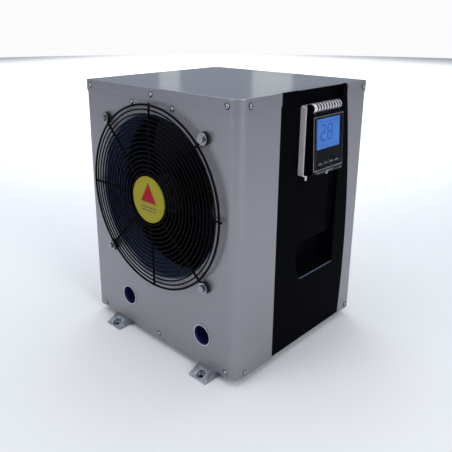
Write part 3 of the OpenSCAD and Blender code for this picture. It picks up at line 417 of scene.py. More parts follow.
def coat_nodes(material, *names):
    """Gives carried-over CAD nodes a finish. Their meshes stay as they are."""
    for name in names:
        mesh = NODES[name].data
        mesh.materials.clear()
        mesh.materials.append(material)


# %% [markdown]
# ## The finishes of this unit
# The cabinet is sheet steel under silver powder coat, which has a fine metallic flake and a slight
# orange peel. The lid is sprayed more glossily on top, and its down-turned lip is as matte as the
# panels. The lid's top is also coloured bluer than its lip, a painted reflection of the sky. The side
# panel is moulded in shiny black plastic.

# %% Cabinet finishes
silver_paint = finish("silver_powder_coat", (0.27, 0.265, 0.29), 0.36, metallic=0.55, tone=0.05,
                      grain=0.05, grain_scale=520, bump=0.05, cell_scale=2600, cell_strength=0.14,
                      splash=0.35, dust=0.02)
lid_gloss = finish("silver_lid_paint", (0.25, 0.262, 0.325), 0.17, metallic=0.6, coat=0.2,
                   coat_roughness=0.12, tone=0.05, grain=0.04, grain_scale=380, bump=0.02,
                   cell_scale=2600, cell_strength=0.1, dust=0.03)
black_gloss = finish("black_moulded_gloss", (0.0022, 0.0024, 0.0038), 0.2, tone=0.3, grain=0.1,
                     grain_scale=300, bump=0.02, rough_spread=0.08, dust=0.0, specular=0.004)
galvanised = finish("galvanised_sheet", (0.3, 0.33, 0.37), 0.34, metallic=0.85, tone=0.1, grain=0.08,
                    grain_scale=260, bump=0.05, cell_scale=170, cell_strength=0.35, splash=0.2, dust=0.03)


def matte_lip(material, lip_colour, lip_roughness):
    """Keeps the gloss and a bluer colour, a painted reflection of the sky, on what faces up, and makes the
    down-turned lip as matte and grey as the panels.
    """
    tree, shader, _ = opened(material)
    upward = looking_up(tree, limit=0.5)
    # Upward faces keep the bluer lid colour, a painted reflection of the sky.
    tone = mixed(tree, upward, (*lip_colour, 1), source_of(shader, "Base Color"))
    sheen = mixed(tree, upward, lip_roughness, source_of(shader, "Roughness"), kind="FLOAT")
    feed(tree, tone, shader, "Base Color")
    feed(tree, sheen, shader, "Roughness")
    return material


lid_paint = matte_lip(lid_gloss, lip_colour=(0.262, 0.262, 0.29), lip_roughness=0.34)
coat_nodes(silver_paint, "front_panel", "left_panel", "rear_panel", "corner_strip")
coat_nodes(lid_paint, "top_cover")
coat_nodes(black_gloss, "side_panel")
coat_nodes(galvanised, "foot_rail_left", "foot_rail_right", "base_pan", "coil_end_plates",
           "partition_plate", "electrical_box", "box_cover")
print("cabinet finishes", silver_paint.name, lid_paint.name, black_gloss.name, galvanised.name)

# %% [markdown]
# The guard's bolts and washers are zinc plated, and the cabinet's screws have a nickel shine. The
# motor's shaft and bracket and the hinge pin are black zinc, so they don't glint in the shade. The
# guard's wires are dipped in black, and the spacers and grommets are rubber.

# %% Small metal parts, wire and rubber
bright_zinc = finish("bright_zinc", (0.32, 0.32, 0.35), 0.2, metallic=1.0, tone=0.1, grain=0.12,
                     grain_scale=900, bump=0.04, dust=0.0)
black_wire = finish("black_dipped_wire", (0.002, 0.002, 0.0025), 0.3, tone=0.3, grain=0.2,
                    grain_scale=600, bump=0.08, dust=0.0005, specular=0.035)
black_rubber = finish("black_rubber", (0.012, 0.012, 0.012), 0.62, tone=0.2, grain=0.25,
                      grain_scale=1200, bump=0.1, dust=0.02)
screw_steel = finish("nickel_screws", (0.34, 0.34, 0.36), 0.16, metallic=1.0, tone=0.1, grain=0.12,
                     grain_scale=900, bump=0.03, dust=0.0)
black_zinc = finish("black_zinc", (0.02, 0.02, 0.024), 0.4, metallic=1.0, tone=0.2, grain=0.15,
                    grain_scale=700, bump=0.04, dust=0.0)
coat_nodes(screw_steel, "cabinet_screws")
coat_nodes(bright_zinc, "guard_bolts", "guard_washers", "compressor_bolts")
coat_nodes(black_zinc, "cover_pin", "motor_shaft", "motor_bracket")
coat_nodes(black_wire, "fan_guard")
coat_nodes(black_rubber, "guard_spacers", "compressor_grommets")
print("small parts", screw_steel.name, bright_zinc.name, black_zinc.name, black_wire.name)

# %% [markdown]
# The fan is glass-filled black plastic with a faint blue sheen. The shroud behind the panel is
# painted sheet. The motor, the compressor and the accumulator wear plain black enamel.

# %% Fan and machine finishes
fan_plastic = finish("fan_plastic", (0.002, 0.003, 0.008), 0.28, tone=0.2, grain=0.15, grain_scale=500,
                     bump=0.05, dust=0.003, specular=0.1)
shroud_paint = finish("shroud_paint", (0.1, 0.15, 0.3), 0.34, metallic=0.4, tone=0.08, grain=0.06,
                      bump=0.03, grain_scale=400)
black_enamel = finish("black_enamel", (0.012, 0.012, 0.014), 0.28, coat=0.2, tone=0.2, grain=0.1,
                      grain_scale=300, bump=0.06)
coat_nodes(fan_plastic, "fan_rotor")
coat_nodes(shroud_paint, "fan_shroud")
coat_nodes(black_enamel, "fan_motor", "compressor", "accumulator")
print("fan and machine", fan_plastic.name, shroud_paint.name, black_enamel.name)

# %% [markdown]
# Copper tarnishes in slow patches, so its tone changes over a few centimetres. Titanium is drawn,
# which leaves fine lines along the tube.

# %% Pipe and valve finishes
copper = finish("drawn_copper", (0.6, 0.26, 0.14), 0.3, metallic=1.0, tone=0.35, grain=0.1,
                grain_scale=400, bump=0.03, rough_spread=0.2)
brass = finish("machined_brass", (0.62, 0.42, 0.16), 0.26, metallic=1.0, tone=0.15, grain=0.1,
               grain_scale=600, bump=0.03)
titanium = finish("drawn_titanium", (0.32, 0.31, 0.3), 0.32, metallic=1.0, tone=0.15, grain=0.15,
                  grain_scale=500, stretch=(0.1, 1, 1), bump=0.04)
coat_nodes(copper, "coil_tubes", "filter_drier", "discharge_pipe", "suction_pipe", "gas_pipe",
           "liquid_pipe")
coat_nodes(brass, "reversing_valve", "expansion_valve")
coat_nodes(titanium, "titanium_coil")
print("pipes and valves", copper.name, brass.name, titanium.name)

# %% [markdown]
# Inside, the exchanger's shell and saddles are grey mouldings, and the switch and the terminals
# are cream. The water pipes are blue. The keys, the cable gland and the drain spout are black.

# %% Plastic, lacquer and can
grey_plastic = finish("grey_moulding", (0.05, 0.054, 0.06), 0.5, tone=0.15, grain=0.2, grain_scale=900,
                      bump=0.06)
blue_plastic = finish("blue_moulding", (0.012, 0.014, 0.085), 0.26, coat=0.2, tone=0.2, grain=0.1,
                      grain_scale=600, bump=0.03, dust=0.0)
cream_plastic = finish("cream_moulding", (0.66, 0.62, 0.5), 0.45, tone=0.08, grain=0.1, bump=0.04)
black_plastic = finish("black_moulding", (0.006, 0.006, 0.008), 0.42, tone=0.2, grain=0.3,
                       grain_scale=1100, bump=0.12, dust=0.003, specular=0.12)
board_green = finish("circuit_lacquer", (0.01, 0.1, 0.035), 0.3, coat=0.3, tone=0.2, grain=0.2,
                     grain_scale=240, bump=0.08)
can_metal = finish("drawn_can", (0.62, 0.62, 0.64), 0.28, metallic=1.0, tone=0.08, grain=0.1,
                   stretch=(1, 1, 0.05), bump=0.03)
coat_nodes(grey_plastic, "exchanger_shell", "exchanger_saddles")
coat_nodes(blue_plastic, "water_inlet", "water_outlet")
coat_nodes(cream_plastic, "flow_switch", "terminal_block")
coat_nodes(black_plastic, "cable_gland", "drain_spout", "key_mode", "key_power", "key_up", "key_down")
coat_nodes(board_green, "circuit_board")
coat_nodes(can_metal, "capacitor")
print("plastics", grey_plastic.name, blue_plastic.name, cream_plastic.name, black_plastic.name)

# %% [markdown]
# ## The port seals
# One node holds both seals. Each is blue inside like its pipe, then has a thin pale lip, then is
# grey like the panel. The material measures how far a point is from the middle of its own port:
# both ports are level and equally far from the node's middle, so the distance across is folded
# over that middle first.


# %% Seal material
def seal_material():
    low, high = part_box("port_seals")
    seal_radius = (high.z - low.z) / 2
    port_offset = (high.x - low.x) / 2 - seal_radius
    blue_radius, lip_radius = 0.0207, 0.0224
    deep_blue, pale_lip = (0.012, 0.014, 0.1, 1), (0.5, 0.52, 0.58, 1)
    material = finish("port_seal", (0.25, 0.25, 0.27), 0.4, tone=0.1, grain=0.15, grain_scale=900,
                      bump=0.06, dust=0.0)
    tree, shader, where = opened(material)
    from_middle = add(tree, "ShaderNodeVectorMath", {1: middle("port_seals")}, operation="SUBTRACT")
    feed(tree, where, from_middle, 0)
    parts = parts_of(tree, (from_middle, 0))
    from_port = add(tree, "ShaderNodeCombineXYZ")
    off_middle = reckon(tree, "ABSOLUTE", (parts, "X"))
    feed(tree, reckon(tree, "SUBTRACT", off_middle, port_offset), from_port, "X")
    feed(tree, (parts, "Z"), from_port, "Z")
    radius = add(tree, "ShaderNodeVectorMath", operation="LENGTH")
    feed(tree, (from_port, 0), radius, 0)
    colour = source_of(shader, "Base Color")
    for limit, zone_colour in ((lip_radius, pale_lip), (blue_radius, deep_blue)):
        inside = reckon(tree, "LESS_THAN", (radius, "Value"), limit)
        colour = mixed(tree, inside, colour, zone_colour)
    feed(tree, colour, shader, "Base Color")
    return material


seal_finish = seal_material()
coat_nodes(seal_finish, "port_seals")
print("seal finish", seal_finish.name)

# %% [markdown]
# ## The air coil
# The coil is hundreds of thin aluminium fins, about 2 mm apart. Modelling each one would cost far
# more than it shows, so the block keeps its shape and its material draws the fins: a wave that
# runs along the coil paints shade into the gaps and lifts the fins as a bump.


# %% Fin material
def fin_material():
    fins_per_metre = 520
    # The colour between the fins is painted shade.
    fin_gap_shade = (0.02, 0.03, 0.04, 1)
    material = finish("coated_fins", (0.05, 0.14, 0.42), 0.36, metallic=0.9, tone=0.12, grain=0.05,
                      bump=0.02)
    tree, shader, where = opened(material)
    parts = parts_of(tree, where)
    along = reckon(tree, "ADD", (parts, "X"), (parts, "Y"))
    wave = reckon(tree, "SINE", reckon(tree, "MULTIPLY", along, fins_per_metre * 2 * math.pi))
    # The wave runs from -1 to 1, and the mix needs 0 to 1.
    lit = reckon(tree, "MULTIPLY_ADD", wave, 0.5, 0.5)
    feed(tree, mixed(tree, lit, fin_gap_shade, source_of(shader, "Base Color")), shader, "Base Color")
    emboss(tree, lit, strength=0.5, distance=0.0008)
    return material


coat_nodes(fin_material(), "coil_fins")
print("coil fins", NODES["coil_fins"].data.materials[0].name)

# %% [markdown]
# ## The controller's finishes
# Its frame and ribbed barrel are plastic under silver lacquer, its bezel is dark chrome and its
# wedge is black. The display is a lit blue liquid crystal, and the flip cover is clear
# polycarbonate.

# %% Controller finishes
silver_lacquer = finish("silver_lacquer", (0.86, 0.82, 0.86), 0.24, metallic=0.2, coat=0.3, tone=0.06,
                        grain=0.06, grain_scale=900, bump=0.03, dust=0.0)
wedge_plastic = finish("black_wedge", (0.0028, 0.003, 0.0045), 0.22, tone=0.2, grain=0.1,
                       grain_scale=700, bump=0.02, dust=0.0, specular=0.01)
dark_chrome = finish("dark_chrome", (0.3, 0.29, 0.3), 0.25, metallic=1.0, tone=0.1, grain=0.06,
                     grain_scale=900, bump=0.02, dust=0.0)
coat_nodes(silver_lacquer, "controller_base", "cover_barrel")
coat_nodes(dark_chrome, "controller_bezel")
coat_nodes(wedge_plastic, "controller_housing")


def lit_display(name, dim, bright, strength):
    material = finish(name, dim, 0.25, tone=0.1, grain=0.05, bump=0.0, specular=0.1)
    tree, shader, where = opened(material)
    glow = noise(tree, where, scale=22.0, detail=1.0)
    feed(tree, mixed(tree, glow, (*dim, 1), (*bright, 1)), shader, "Emission Color")
    give(shader, {"Emission Strength": strength})
    return material


def clear_material(name):
    material = finish(name, (0.93, 0.95, 0.97), 0.04, tone=0.02, grain=0.0, rough_spread=0.03,
                      bump=0.003, dust=0.0, specular=0.05)
    give(material.node_tree.nodes["Principled BSDF"], {"Transmission Weight": 1.0, "IOR": 1.08})
    return material


blue_glow = lit_display("lit_display", dim=(0.04, 0.13, 0.42), bright=(0.07, 0.2, 0.58), strength=0.5)
coat_nodes(blue_glow, "display")
coat_nodes(clear_material("clear_polycarbonate"), "clear_cover")
print("controller", silver_lacquer.name, dark_chrome.name, wedge_plastic.name)

# %% [markdown]
# ## Working by hand
# New pieces are made the way a person makes them in Blender: add a primitive at its size and
# place, go into edit mode, pick faces or edges, and inset, move or bevel them. These small
# helpers do the picking, because a script has no mouse.

# %% Helpers for modelling
# Turns a cylinder so that it runs from front to back.
ALONG_Y = (math.radians(90), 0, 0)
# An edge is rounded when its faces meet at more than the first angle, and shaded smoothly when
# they meet at less than the second.
BEVEL_ANGLE, SMOOTH_ANGLE = math.radians(35), math.radians(40)
# Points this close to each other are the same point, and faces that meet at less than this
# angle are one flat face.
SAME_POINT = 0.00001
FLAT_ANGLE = math.radians(0.4)


def nothing_selected():
    if bpy.context.mode != "OBJECT":
        bpy.ops.object.mode_set(mode="OBJECT")
    bpy.ops.object.select_all(action="DESELECT")


def choose(piece):
    nothing_selected()
    piece.select_set(True)
    bpy.context.view_layer.objects.active = piece


def edit(piece, mode="FACE"):
    choose(piece)
    bpy.ops.object.mode_set(mode="EDIT")
    bpy.ops.mesh.select_mode(type=mode)
    bpy.ops.mesh.select_all(action="DESELECT")


def pick(piece, wanted, kind="FACE"):
    """Selects the faces or edges for which wanted(item) is true. The piece is in edit mode."""
    mesh = bmesh.from_edit_mesh(piece.data)
    count = 0
    for item in mesh.faces if kind == "FACE" else mesh.edges:
        chosen = wanted(item)
        item.select_set(chosen)
        count += chosen
    mesh.select_flush_mode()
    bmesh.update_edit_mesh(piece.data)
    return count


def settle(piece):
    """Puts the piece's place, turn and scale into its mesh."""
    choose(piece)
    bpy.ops.object.transform_apply(location=True, rotation=True, scale=True)


def new_block(size, place=(0, 0, 0)):
    nothing_selected()
    bpy.ops.mesh.primitive_cube_add(size=1, location=place)
    block = bpy.context.object
    block.dimensions = size
    settle(block)
    return block


def new_cylinder(sides, radius, depth, place=(0, 0, 0), rotation=(0, 0, 0)):
    nothing_selected()
    bpy.ops.mesh.primitive_cylinder_add(vertices=sides, radius=radius, depth=depth, location=place,
                                        rotation=rotation)
    cylinder = bpy.context.object
    settle(cylinder)
    return cylinder


def round_edges(piece, width, segments=2):
    choose(piece)
    bevel = piece.modifiers.new("edge_radius", "BEVEL")
    bevel.width = width
    bevel.segments = segments
    bevel.limit_method = "ANGLE"
    bevel.angle_limit = BEVEL_ANGLE
    bpy.ops.object.modifier_apply(modifier=bevel.name)
    bpy.ops.object.shade_smooth_by_angle(angle=SMOOTH_ANGLE)
    weighting = piece.modifiers.new("flat_faces_stay_flat", "WEIGHTED_NORMAL")
    weighting.weight = 100
    weighting.keep_sharp = True
    bpy.ops.object.modifier_apply(modifier=weighting.name)


def put(piece, name, body, material):
    """The last step of every piece: its name, finish and the body that it rides on."""
    piece.name = name
    piece.data.materials.clear()
    piece.data.materials.append(material)
    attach(piece, body)


def joined(pieces):
    choose(pieces[0])
    for piece in pieces[1:]:
        piece.select_set(True)
    bpy.ops.object.join()
    return bpy.context.object


def copy_of(piece, matrix):
    """A copy with its own mesh, moved by a matrix."""
    twin = piece.copy()
    twin.data = piece.data.copy()
    bpy.context.scene.collection.objects.link(twin)
    twin.data.transform(matrix)
    return twin


print("helpers ready; edges round above", round(math.degrees(BEVEL_ANGLE)), "degrees")

# %% [markdown]
# ## Edges that catch the light
# Folded sheet and moulded plastic never end in a perfect corner: the tiny radius on each edge
# shows as a bright line. The CAD shapes are right but sharp, so these parts are copied, their
# loose triangles merged, the flat areas dissolved into single faces, and the edges rounded. The
# lid also gets a wider bend where its lip folds down.


# %% Copies with rounded edges
def is_fold(top):
    """Makes a test for top edges of walls that drop down at least as far as a lip does."""
    level_within, lip_drop = 0.0001, 0.005

    def wanted(edge):
        level = all(vertex.co.z > top - level_within for vertex in edge.verts)
        lowest = min(vertex.co.z for face in edge.link_faces for vertex in face.verts)
        return level and top - lowest > lip_drop

    return wanted


def softened(node, material, width, segments=2, fold=0.0):
    source = NODES[node]
    body = next(b for b, names in frame["record"]["behaviour"]["bodies"].items() if node in names)
    piece = bpy.data.objects.new(node + "_soft", source.data.copy())
    bpy.context.scene.collection.objects.link(piece)
    edit(piece, "VERT")
    bpy.ops.mesh.select_all(action="SELECT")
    bpy.ops.mesh.remove_doubles(threshold=SAME_POINT)
    bpy.ops.mesh.dissolve_limited(angle_limit=FLAT_ANGLE)
    if fold:
        bpy.ops.mesh.select_mode(type="EDGE")
        top = max(corner.co.z for corner in source.data.vertices)
        print(node, "fold edges", pick(piece, is_fold(top), "EDGE"))
        bpy.ops.mesh.bevel(offset=fold, segments=4, affect="EDGES")
    bpy.ops.object.mode_set(mode="OBJECT")
    round_edges(piece, width, segments)
    put(piece, node + "_soft", body, material)
    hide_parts(node)
    print(piece.name, len(piece.data.polygons), "faces")


softened("top_cover", lid_paint, width=0.0003, fold=0.0018)
softened("foot_rail_left", galvanised, width=0.0006)
softened("foot_rail_right", galvanised, width=0.0006)
softened("guard_bolts", bright_zinc, width=0.0005)
softened("guard_washers", bright_zinc, width=0.0004)
softened("front_panel", silver_paint, width=0.0004)
softened("corner_strip", silver_paint, width=0.0004)
softened("side_panel", black_gloss, width=0.0009, segments=3)
softened("cabinet_screws", screw_steel, width=0.0004)
softened("controller_base", silver_lacquer, width=0.0007, segments=3)
softened("controller_housing", wedge_plastic, width=0.0006)
softened("controller_bezel", dark_chrome, width=0.0002)

# %% [markdown]
# ## A painted shadow round each screw
# A thin dark ring is painted round each pan head as the shadow it throws on the paint.
# The screws are found in their own mesh, island by island. One small ring is modelled and copied
# to each of them, turned to face out of whichever panel the screw is in.


# %% Rings round the screws
def islands(mesh):
    """The separate solids of a mesh, each as a list of points."""
    work = bmesh.new()
    work.from_mesh(mesh)
    bmesh.ops.remove_doubles(work, verts=work.verts, dist=SAME_POINT)
    unseen, found = set(work.verts), []
    while unseen:
        group, border = [], [unseen.pop()]
        while border:
            vertex = border.pop()
            group.append(vertex.co.copy())
            for edge in vertex.link_edges:
                other = edge.other_vert(vertex)
                if other in unseen:
                    unseen.remove(other)
                    border.append(other)
        found.append(group)
    work.free()
    return found


cabinet_middle = Vector(((left_face + right_face) / 2, (front_face + rear_face) / 2, 0))
half_size = Vector(((right_face - left_face) / 2, (rear_face - front_face) / 2, 0))
head_height, head_radius = 0.0032, 0.005
gap_from_head, gap_thickness = 0.0004, 0.0008
nothing_selected()
bpy.ops.mesh.primitive_torus_add(major_segments=28, minor_segments=6,
                                 major_radius=head_radius + gap_from_head, minor_radius=gap_thickness)
ring = bpy.context.object
rings = []
for points in islands(NODES["cabinet_screws"].data):
    low = Vector(min(p[i] for p in points) for i in range(3))
    high = Vector(max(p[i] for p in points) for i in range(3))
    centre = (low + high) / 2
    offset = centre - cabinet_middle
    on_side = half_size.x - abs(offset.x) < half_size.y - abs(offset.y)
    axis = 0 if on_side else 1
    outward = Vector((0, 0, 0))
    outward[axis] = 1 if offset[axis] > 0 else -1
    head_top = (high if offset[axis] > 0 else low)[axis]
    place = centre.copy()
    place[axis] = head_top - outward[axis] * head_height
    turned = outward.to_track_quat("Z", "Y").to_matrix().to_4x4()
    rings.append(copy_of(ring, Matrix.Translation(place) @ turned))
bpy.data.objects.remove(ring)
screw_shadow_rings = joined(rings)
choose(screw_shadow_rings)
bpy.ops.object.shade_smooth()
# A near-black finish of painted shade: the shadow round the screws and the dark in the bolt holes.
painted_gap_shade = finish("painted_gap_shade", (0.008, 0.008, 0.01), 0.7, tone=0.2, grain=0.2, bump=0.02, dust=0.0,
                  specular=0.1)
put(screw_shadow_rings, "screw_shadow_rings", "cabinet", painted_gap_shade)
print("rings round screws", len(rings))

# %% [markdown]
# ## The badge
# The badge in the middle of the guard is a thin plastic disc: a raised rim round a printed face.
# We start from a cylinder, inset its front face twice and push the middle in.

# %% Badge disc
badge_low, badge_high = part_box("guard_badge")
badge_centre = middle("guard_badge")
badge_radius = (badge_high.x - badge_low.x) / 2
rim_width, rim_slope, face_depth = 0.0022, 0.0008, 0.0009
badge = new_cylinder(sides=96, radius=badge_radius, depth=badge_high.y - badge_low.y,
                     place=badge_centre, rotation=ALONG_Y)
edit(badge)
print("badge front faces", pick(badge, lambda face: face.normal.y < -0.9))
bpy.ops.mesh.inset(thickness=rim_width)
bpy.ops.mesh.inset(thickness=rim_slope)
bpy.ops.transform.translate(value=(0, face_depth, 0))
bpy.ops.object.mode_set(mode="OBJECT")
round_edges(badge, width=0.0003)
badge_yellow = finish("badge_yellow", (0.29, 0.26, 0.012), 0.42, specular=0.15, tone=0.1, grain=0.08,
                      grain_scale=500, bump=0.02, dust=0.0)
put(badge, "badge_disc", "cabinet", badge_yellow)
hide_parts("guard_badge")
print("badge", round(2 * badge_radius, 4), "across")

# %% [markdown]
# A plain red triangle is the only sign on the badge. A three-sided cylinder is a triangle plate,
# and rounding its three upright edges gives the soft corners of a printed sign. A larger, darker
# one behind it makes the outline.

# %% Triangle
face_front = badge_low.y + face_depth
sign_rise = 0.0075


def triangle_plate(radius, proud, corner):
    """A triangle that points up, with its front that far in front of the badge's face."""
    thickness = 0.0003
    centre = Vector((badge_centre.x, face_front - proud + thickness / 2, badge_centre.z + sign_rise))
    plate = new_cylinder(sides=3, radius=radius, depth=thickness, place=centre, rotation=ALONG_Y)
    edit(plate, "EDGE")
    pick(plate, lambda edge: abs(edge.verts[0].co.y - edge.verts[1].co.y) > thickness / 2, "EDGE")
    bpy.ops.mesh.bevel(offset=corner, segments=5, affect="EDGES")
    bpy.ops.object.mode_set(mode="OBJECT")
    return plate


sign_red = finish("sign_red", (0.32, 0.002, 0.012), 0.4, specular=0.1, tone=0.1, grain=0.05, bump=0.01,
                  dust=0.0)
sign_dark = finish("sign_outline", (0.16, 0.05, 0.012), 0.4, tone=0.1, grain=0.05, bump=0.01, dust=0.0)
outline = triangle_plate(radius=0.0285, proud=0.0002, corner=0.0016)
put(outline, "badge_outline", "cabinet", sign_dark)
sign = triangle_plate(radius=0.025, proud=0.0004, corner=0.0012)
put(sign, "badge_triangle", "cabinet", sign_red)
print("triangle", round(sign.dimensions.x, 4), "wide")

# %% [markdown]
# Two rows of dashes stand where small print would be. Each row is laid out from its middle, with
# dashes of different lengths, like words.

# %% Badge dashes
dash_rows = [(-0.0165, [0.006, 0.01, 0.007, 0.011, 0.008]), (-0.0235, [0.012, 0.007, 0.01, 0.009])]
dash_gap, dash_height, dash_thickness = 0.0016, 0.0034, 0.0002
dashes = []
for drop, lengths in dash_rows:
    start = badge_centre.x - (sum(lengths) + dash_gap * (len(lengths) - 1)) / 2
    for length in lengths:
        place = (start + length / 2, face_front - dash_thickness / 2, badge_centre.z + drop)
        dashes.append(new_block((length, dash_thickness, dash_height), place))
        start += length + dash_gap
print_rows = joined(dashes)
round_edges(print_rows, width=0.00008, segments=1)
put(print_rows, "badge_dashes", "cabinet", sign_dark)
print("badge dashes", len(dashes))

# %% [markdown]
# ## Weld beads on the guard
# Each ring is spot welded to each spoke, and the dip coating rounds the joint into a small bead.
# The rings lie evenly between the badge and the outer ring, on a shallow dome. One bead is
# modelled as a low ball, then copied to every crossing, just behind the ring's wire.

# %% Weld beads
ring_wire, spoke_wire, spoke_tip = 0.0016, 0.0023, 0.004
ring_count, spoke_count = 16, 8
badge_clearance = 0.005
first_ring = badge_radius + badge_clearance
outer_ring = guard_radius - spoke_tip - spoke_wire
ring_step = (outer_ring - first_ring) / (ring_count - 1)
guard_stand, guard_rise = 0.011, 0.005
bead_radius, bead_flatness = 0.0024, 0.8
nothing_selected()
bpy.ops.mesh.primitive_uv_sphere_add(segments=10, ring_count=6, radius=bead_radius)
bead = bpy.context.object
beads = []
for ring in range(ring_count):
    radius = first_ring + ring * ring_step
    depth = front_face - guard_stand - guard_rise * (1 - radius / outer_ring) + ring_wire
    for spoke in range(spoke_count):
        angle = 2 * math.pi * spoke / spoke_count
        place = Vector((fan_centre.x + radius * math.cos(angle), depth,
                        fan_centre.z + radius * math.sin(angle)))
        beads.append(copy_of(bead, Matrix.Translation(place) @ Matrix.Diagonal((1, bead_flatness, 1, 1))))
bpy.data.objects.remove(bead)
welds = joined(beads)
choose(welds)
bpy.ops.object.shade_smooth()
put(welds, "guard_welds", "cabinet", black_wire)
print("weld beads", len(beads))

# %% [markdown]
# ## What the display shows
# The controller's face slopes, so its figures are laid out flat, with X across, Y up and Z out,
# and then turned onto the face. The keys move straight into the face, so their joint says which
# way the face looks.

# %% Onto the controller's face
key_joint = next(joint for joint in frame["joints"] if joint["name"] == "mode_press")
face_normal = -Vector(key_joint["axis"])
face_up = Vector((-face_normal.z, 0, face_normal.x))
face_across = Vector((0, 1, 0))
face_turn = Matrix((face_across, face_up, face_normal)).transposed().to_4x4()


def to_face(centre, lift):
    """Turns a flat layout onto the face, at a place that far in front of centre."""
    return Matrix.Translation(centre + face_normal * lift) @ face_turn


print("face looks along", [round(v, 3) for v in face_normal])

# %% [markdown]
# A liquid crystal makes its figures from short bars. One bar is modelled, then copied into the
# seven places of each digit. The digits here are only a sample temperature. A row of small marks
# runs above them and another below.

# %% Display figures
bar_length, bar_width, bar_thickness, bar_lift = 0.0145, 0.003, 0.0002, 0.0009
# Each place of a digit: how far across and up it is, in bar lengths, and its turn in degrees.
SEGMENTS = {"top": (0, 1, 90), "middle": (0, 0, 90), "bottom": (0, -1, 90),
            "upper_left": (-0.5, 0.5, 0), "upper_right": (0.5, 0.5, 0),
            "lower_left": (-0.5, -0.5, 0), "lower_right": (0.5, -0.5, 0)}
DIGITS = {"2": ("top", "upper_right", "middle", "lower_left", "bottom"), "8": tuple(SEGMENTS)}
digit_places, digits_up = (("2", -0.019), ("8", 0.005)), 0.002
mark_rows, marks_in_row = (-0.0225, 0.0235), 6
first_mark, mark_spacing, mark_scale = -0.03, 0.012, 0.55
on_display = to_face(middle("display"), bar_lift)
bar = new_block((bar_width, bar_length - bar_width, bar_thickness))
figures = []
for digit, digit_across in digit_places:
    for segment in DIGITS[digit]:
        across, up, segment_turn = SEGMENTS[segment]
        place = (digit_across + across * bar_length, up * bar_length + digits_up, 0)
        turned = Matrix.Rotation(math.radians(segment_turn), 4, "Z")
        figures.append(copy_of(bar, on_display @ Matrix.Translation(place) @ turned))
lying = Matrix.Rotation(math.radians(90), 4, "Z")
for row in mark_rows:
    for column in range(marks_in_row):
        place = Matrix.Translation((first_mark + column * mark_spacing, row, 0))
        figures.append(copy_of(bar, on_display @ place @ Matrix.Scale(mark_scale, 4) @ lying))
bpy.data.objects.remove(bar)
lcd_dark = lit_display("lcd_figures", dim=(0.02, 0.07, 0.26), bright=(0.03, 0.09, 0.32), strength=0.35)
put(joined(figures), "display_figures", "cabinet", lcd_dark)
print("display bars", len(figures))

# %% [markdown]
# Each key carries one pale dash, a painted highlight for the light line along the row of keys, and
# the dash moves with its key.

# %% Key dashes
# The pale dash colour is a painted highlight.
key_print = finish("key_print", (0.5, 0.52, 0.58), 0.4, tone=0.1, grain=0.1, bump=0.01, dust=0.0,
                   specular=0.2)
dash_size = (0.0125, 0.0009, 0.0002)
for joint in frame["joints"]:
    if not joint["name"].endswith("_press"):
        continue
    key_node = "key_" + joint["name"].split("_")[0]
    centre = middle(key_node)
    proud = max((vertex.co - centre).dot(face_normal) for vertex in NODES[key_node].data.vertices)
    dash = new_block(dash_size)
    round_edges(dash, width=0.00006, segments=1)
    dash.data.transform(to_face(centre, proud))
    put(dash, key_node + "_dash", joint["child"], key_print)
    print(dash.name, "rides on", joint["child"])

# %% [markdown]
# ## Painted shade rings on the hinge barrel
# The ribbed barrel shows dark stripes where its grooves lie in shade, so dark rings sit round the
# silver barrel as painted shade. One short cylinder is made and copied along the barrel, and the
# rings swing with it.

# %% Barrel rings
barrel_low, barrel_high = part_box("cover_barrel")
hinge = next(joint for joint in frame["record"]["behaviour"]["joints"] if joint["name"] == "cover_hinge")
barrel_middle = Vector(hinge["pos_m"])
rings_wanted, ring_width, ring_proud = 9, 0.0052, 0.0002
front_margin, rear_margin = 0.012, 0.005
first_y, last_y = barrel_low.y + front_margin, barrel_high.y - rear_margin
ring_radius = barrel_middle.z - barrel_low.z + ring_proud
band = new_cylinder(sides=48, radius=ring_radius, depth=ring_width, rotation=ALONG_Y)
bands = []
for step in range(rings_wanted):
    y = first_y + (last_y - first_y) * step / (rings_wanted - 1)
    bands.append(copy_of(band, Matrix.Translation((barrel_middle.x, y, barrel_middle.z))))
bpy.data.objects.remove(band)
barrel_rings = joined(bands)
round_edges(barrel_rings, width=0.0002, segments=1)
# The rings' dark colour is painted shade for the barrel's grooves.
groove_shade = finish("painted_groove_shade", (0.014, 0.014, 0.03), 0.4, tone=0.1, grain=0.1, bump=0.02, dust=0.0)
put(barrel_rings, "barrel_rings", "cover", groove_shade)
print("barrel rings", len(bands))
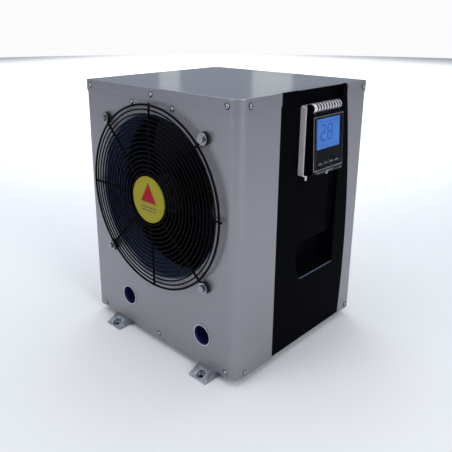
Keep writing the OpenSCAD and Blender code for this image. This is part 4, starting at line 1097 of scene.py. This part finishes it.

# %% [markdown]
# ## The ledge of the hand-hold
# The lower edge of the hand-hold is rolled over, so that it doesn't cut into fingers. The bead is
# coloured a lighter blue-black than the panel, a painted highlight for the sky's reflection along
# the rounded edge: it is the one clear line on the black panel. Its place is the lowest long level
# edge on the panel's face at that height, so we look for that edge in the panel's own mesh.

# %% Ledge bead
panel_mesh = NODES["side_panel"].data
panel_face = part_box("side_panel")[1].x
flat_within, shortest_ledge = 0.0002, 0.06
search_low, search_high = 0.1, 0.25
level_edges = []
for edge in panel_mesh.edges:
    a, b = (panel_mesh.vertices[i].co for i in edge.vertices)
    on_face = abs(a.x - panel_face) < flat_within and abs(b.x - panel_face) < flat_within
    level = abs(a.z - b.z) < flat_within and abs(a.y - b.y) > shortest_ledge
    if on_face and level and search_low < a.z < search_high:
        level_edges.append((a.z, min(a.y, b.y), max(a.y, b.y)))
ledge_z, ledge_y0, ledge_y1 = min(level_edges)
ledge_radius = 0.0013
ledge_middle = (panel_face - ledge_radius, (ledge_y0 + ledge_y1) / 2, ledge_z)
ledge = new_cylinder(sides=24, radius=ledge_radius, depth=ledge_y1 - ledge_y0, place=ledge_middle,
                     rotation=ALONG_Y)
round_edges(ledge, width=0.0005)
# The bead's lighter blue-black is a painted highlight, the sky's reflection along the edge.
ledge_painted_highlight = finish("ledge_painted_highlight", (0.06, 0.075, 0.14), 0.22, tone=0.15, grain=0.1, bump=0.02, dust=0.0)
put(ledge, "hand_hold_bead", "cabinet", ledge_painted_highlight)
print("ledge from", round(ledge_y0, 4), "to", round(ledge_y1, 4), "at", round(ledge_z, 4))

# %% [markdown]
# ## The bolt holes
# Little light reaches the ground through the bolt holes, so a dark disc in each of them paints that shade.

# %% Shade in the bolt holes
bolts = next(mount for mount in frame["record"]["mounts"] if mount["name"] == "foot_bolts")["dims"]
hole_clearance, shade_depth = 0.0001, 0.0004
shade_radius = bolts["hole_r_mm"] * MM - hole_clearance
half_x, half_y = bolts["spacing_x_mm"] * MM / 2, bolts["spacing_y_mm"] * MM / 2
shades = []
for side in (-1, 1):
    for end in (-1, 1):
        place = (side * half_x, end * half_y, shade_depth)
        shades.append(new_cylinder(sides=32, radius=shade_radius, depth=shade_depth, place=place))
hole_shades = joined(shades)
round_edges(hole_shades, width=0.0001, segments=1)
# The discs wear the near-black finish as painted shade.
put(hole_shades, "bolt_hole_shades", "cabinet", painted_gap_shade)
print("bolt holes", len(shades))
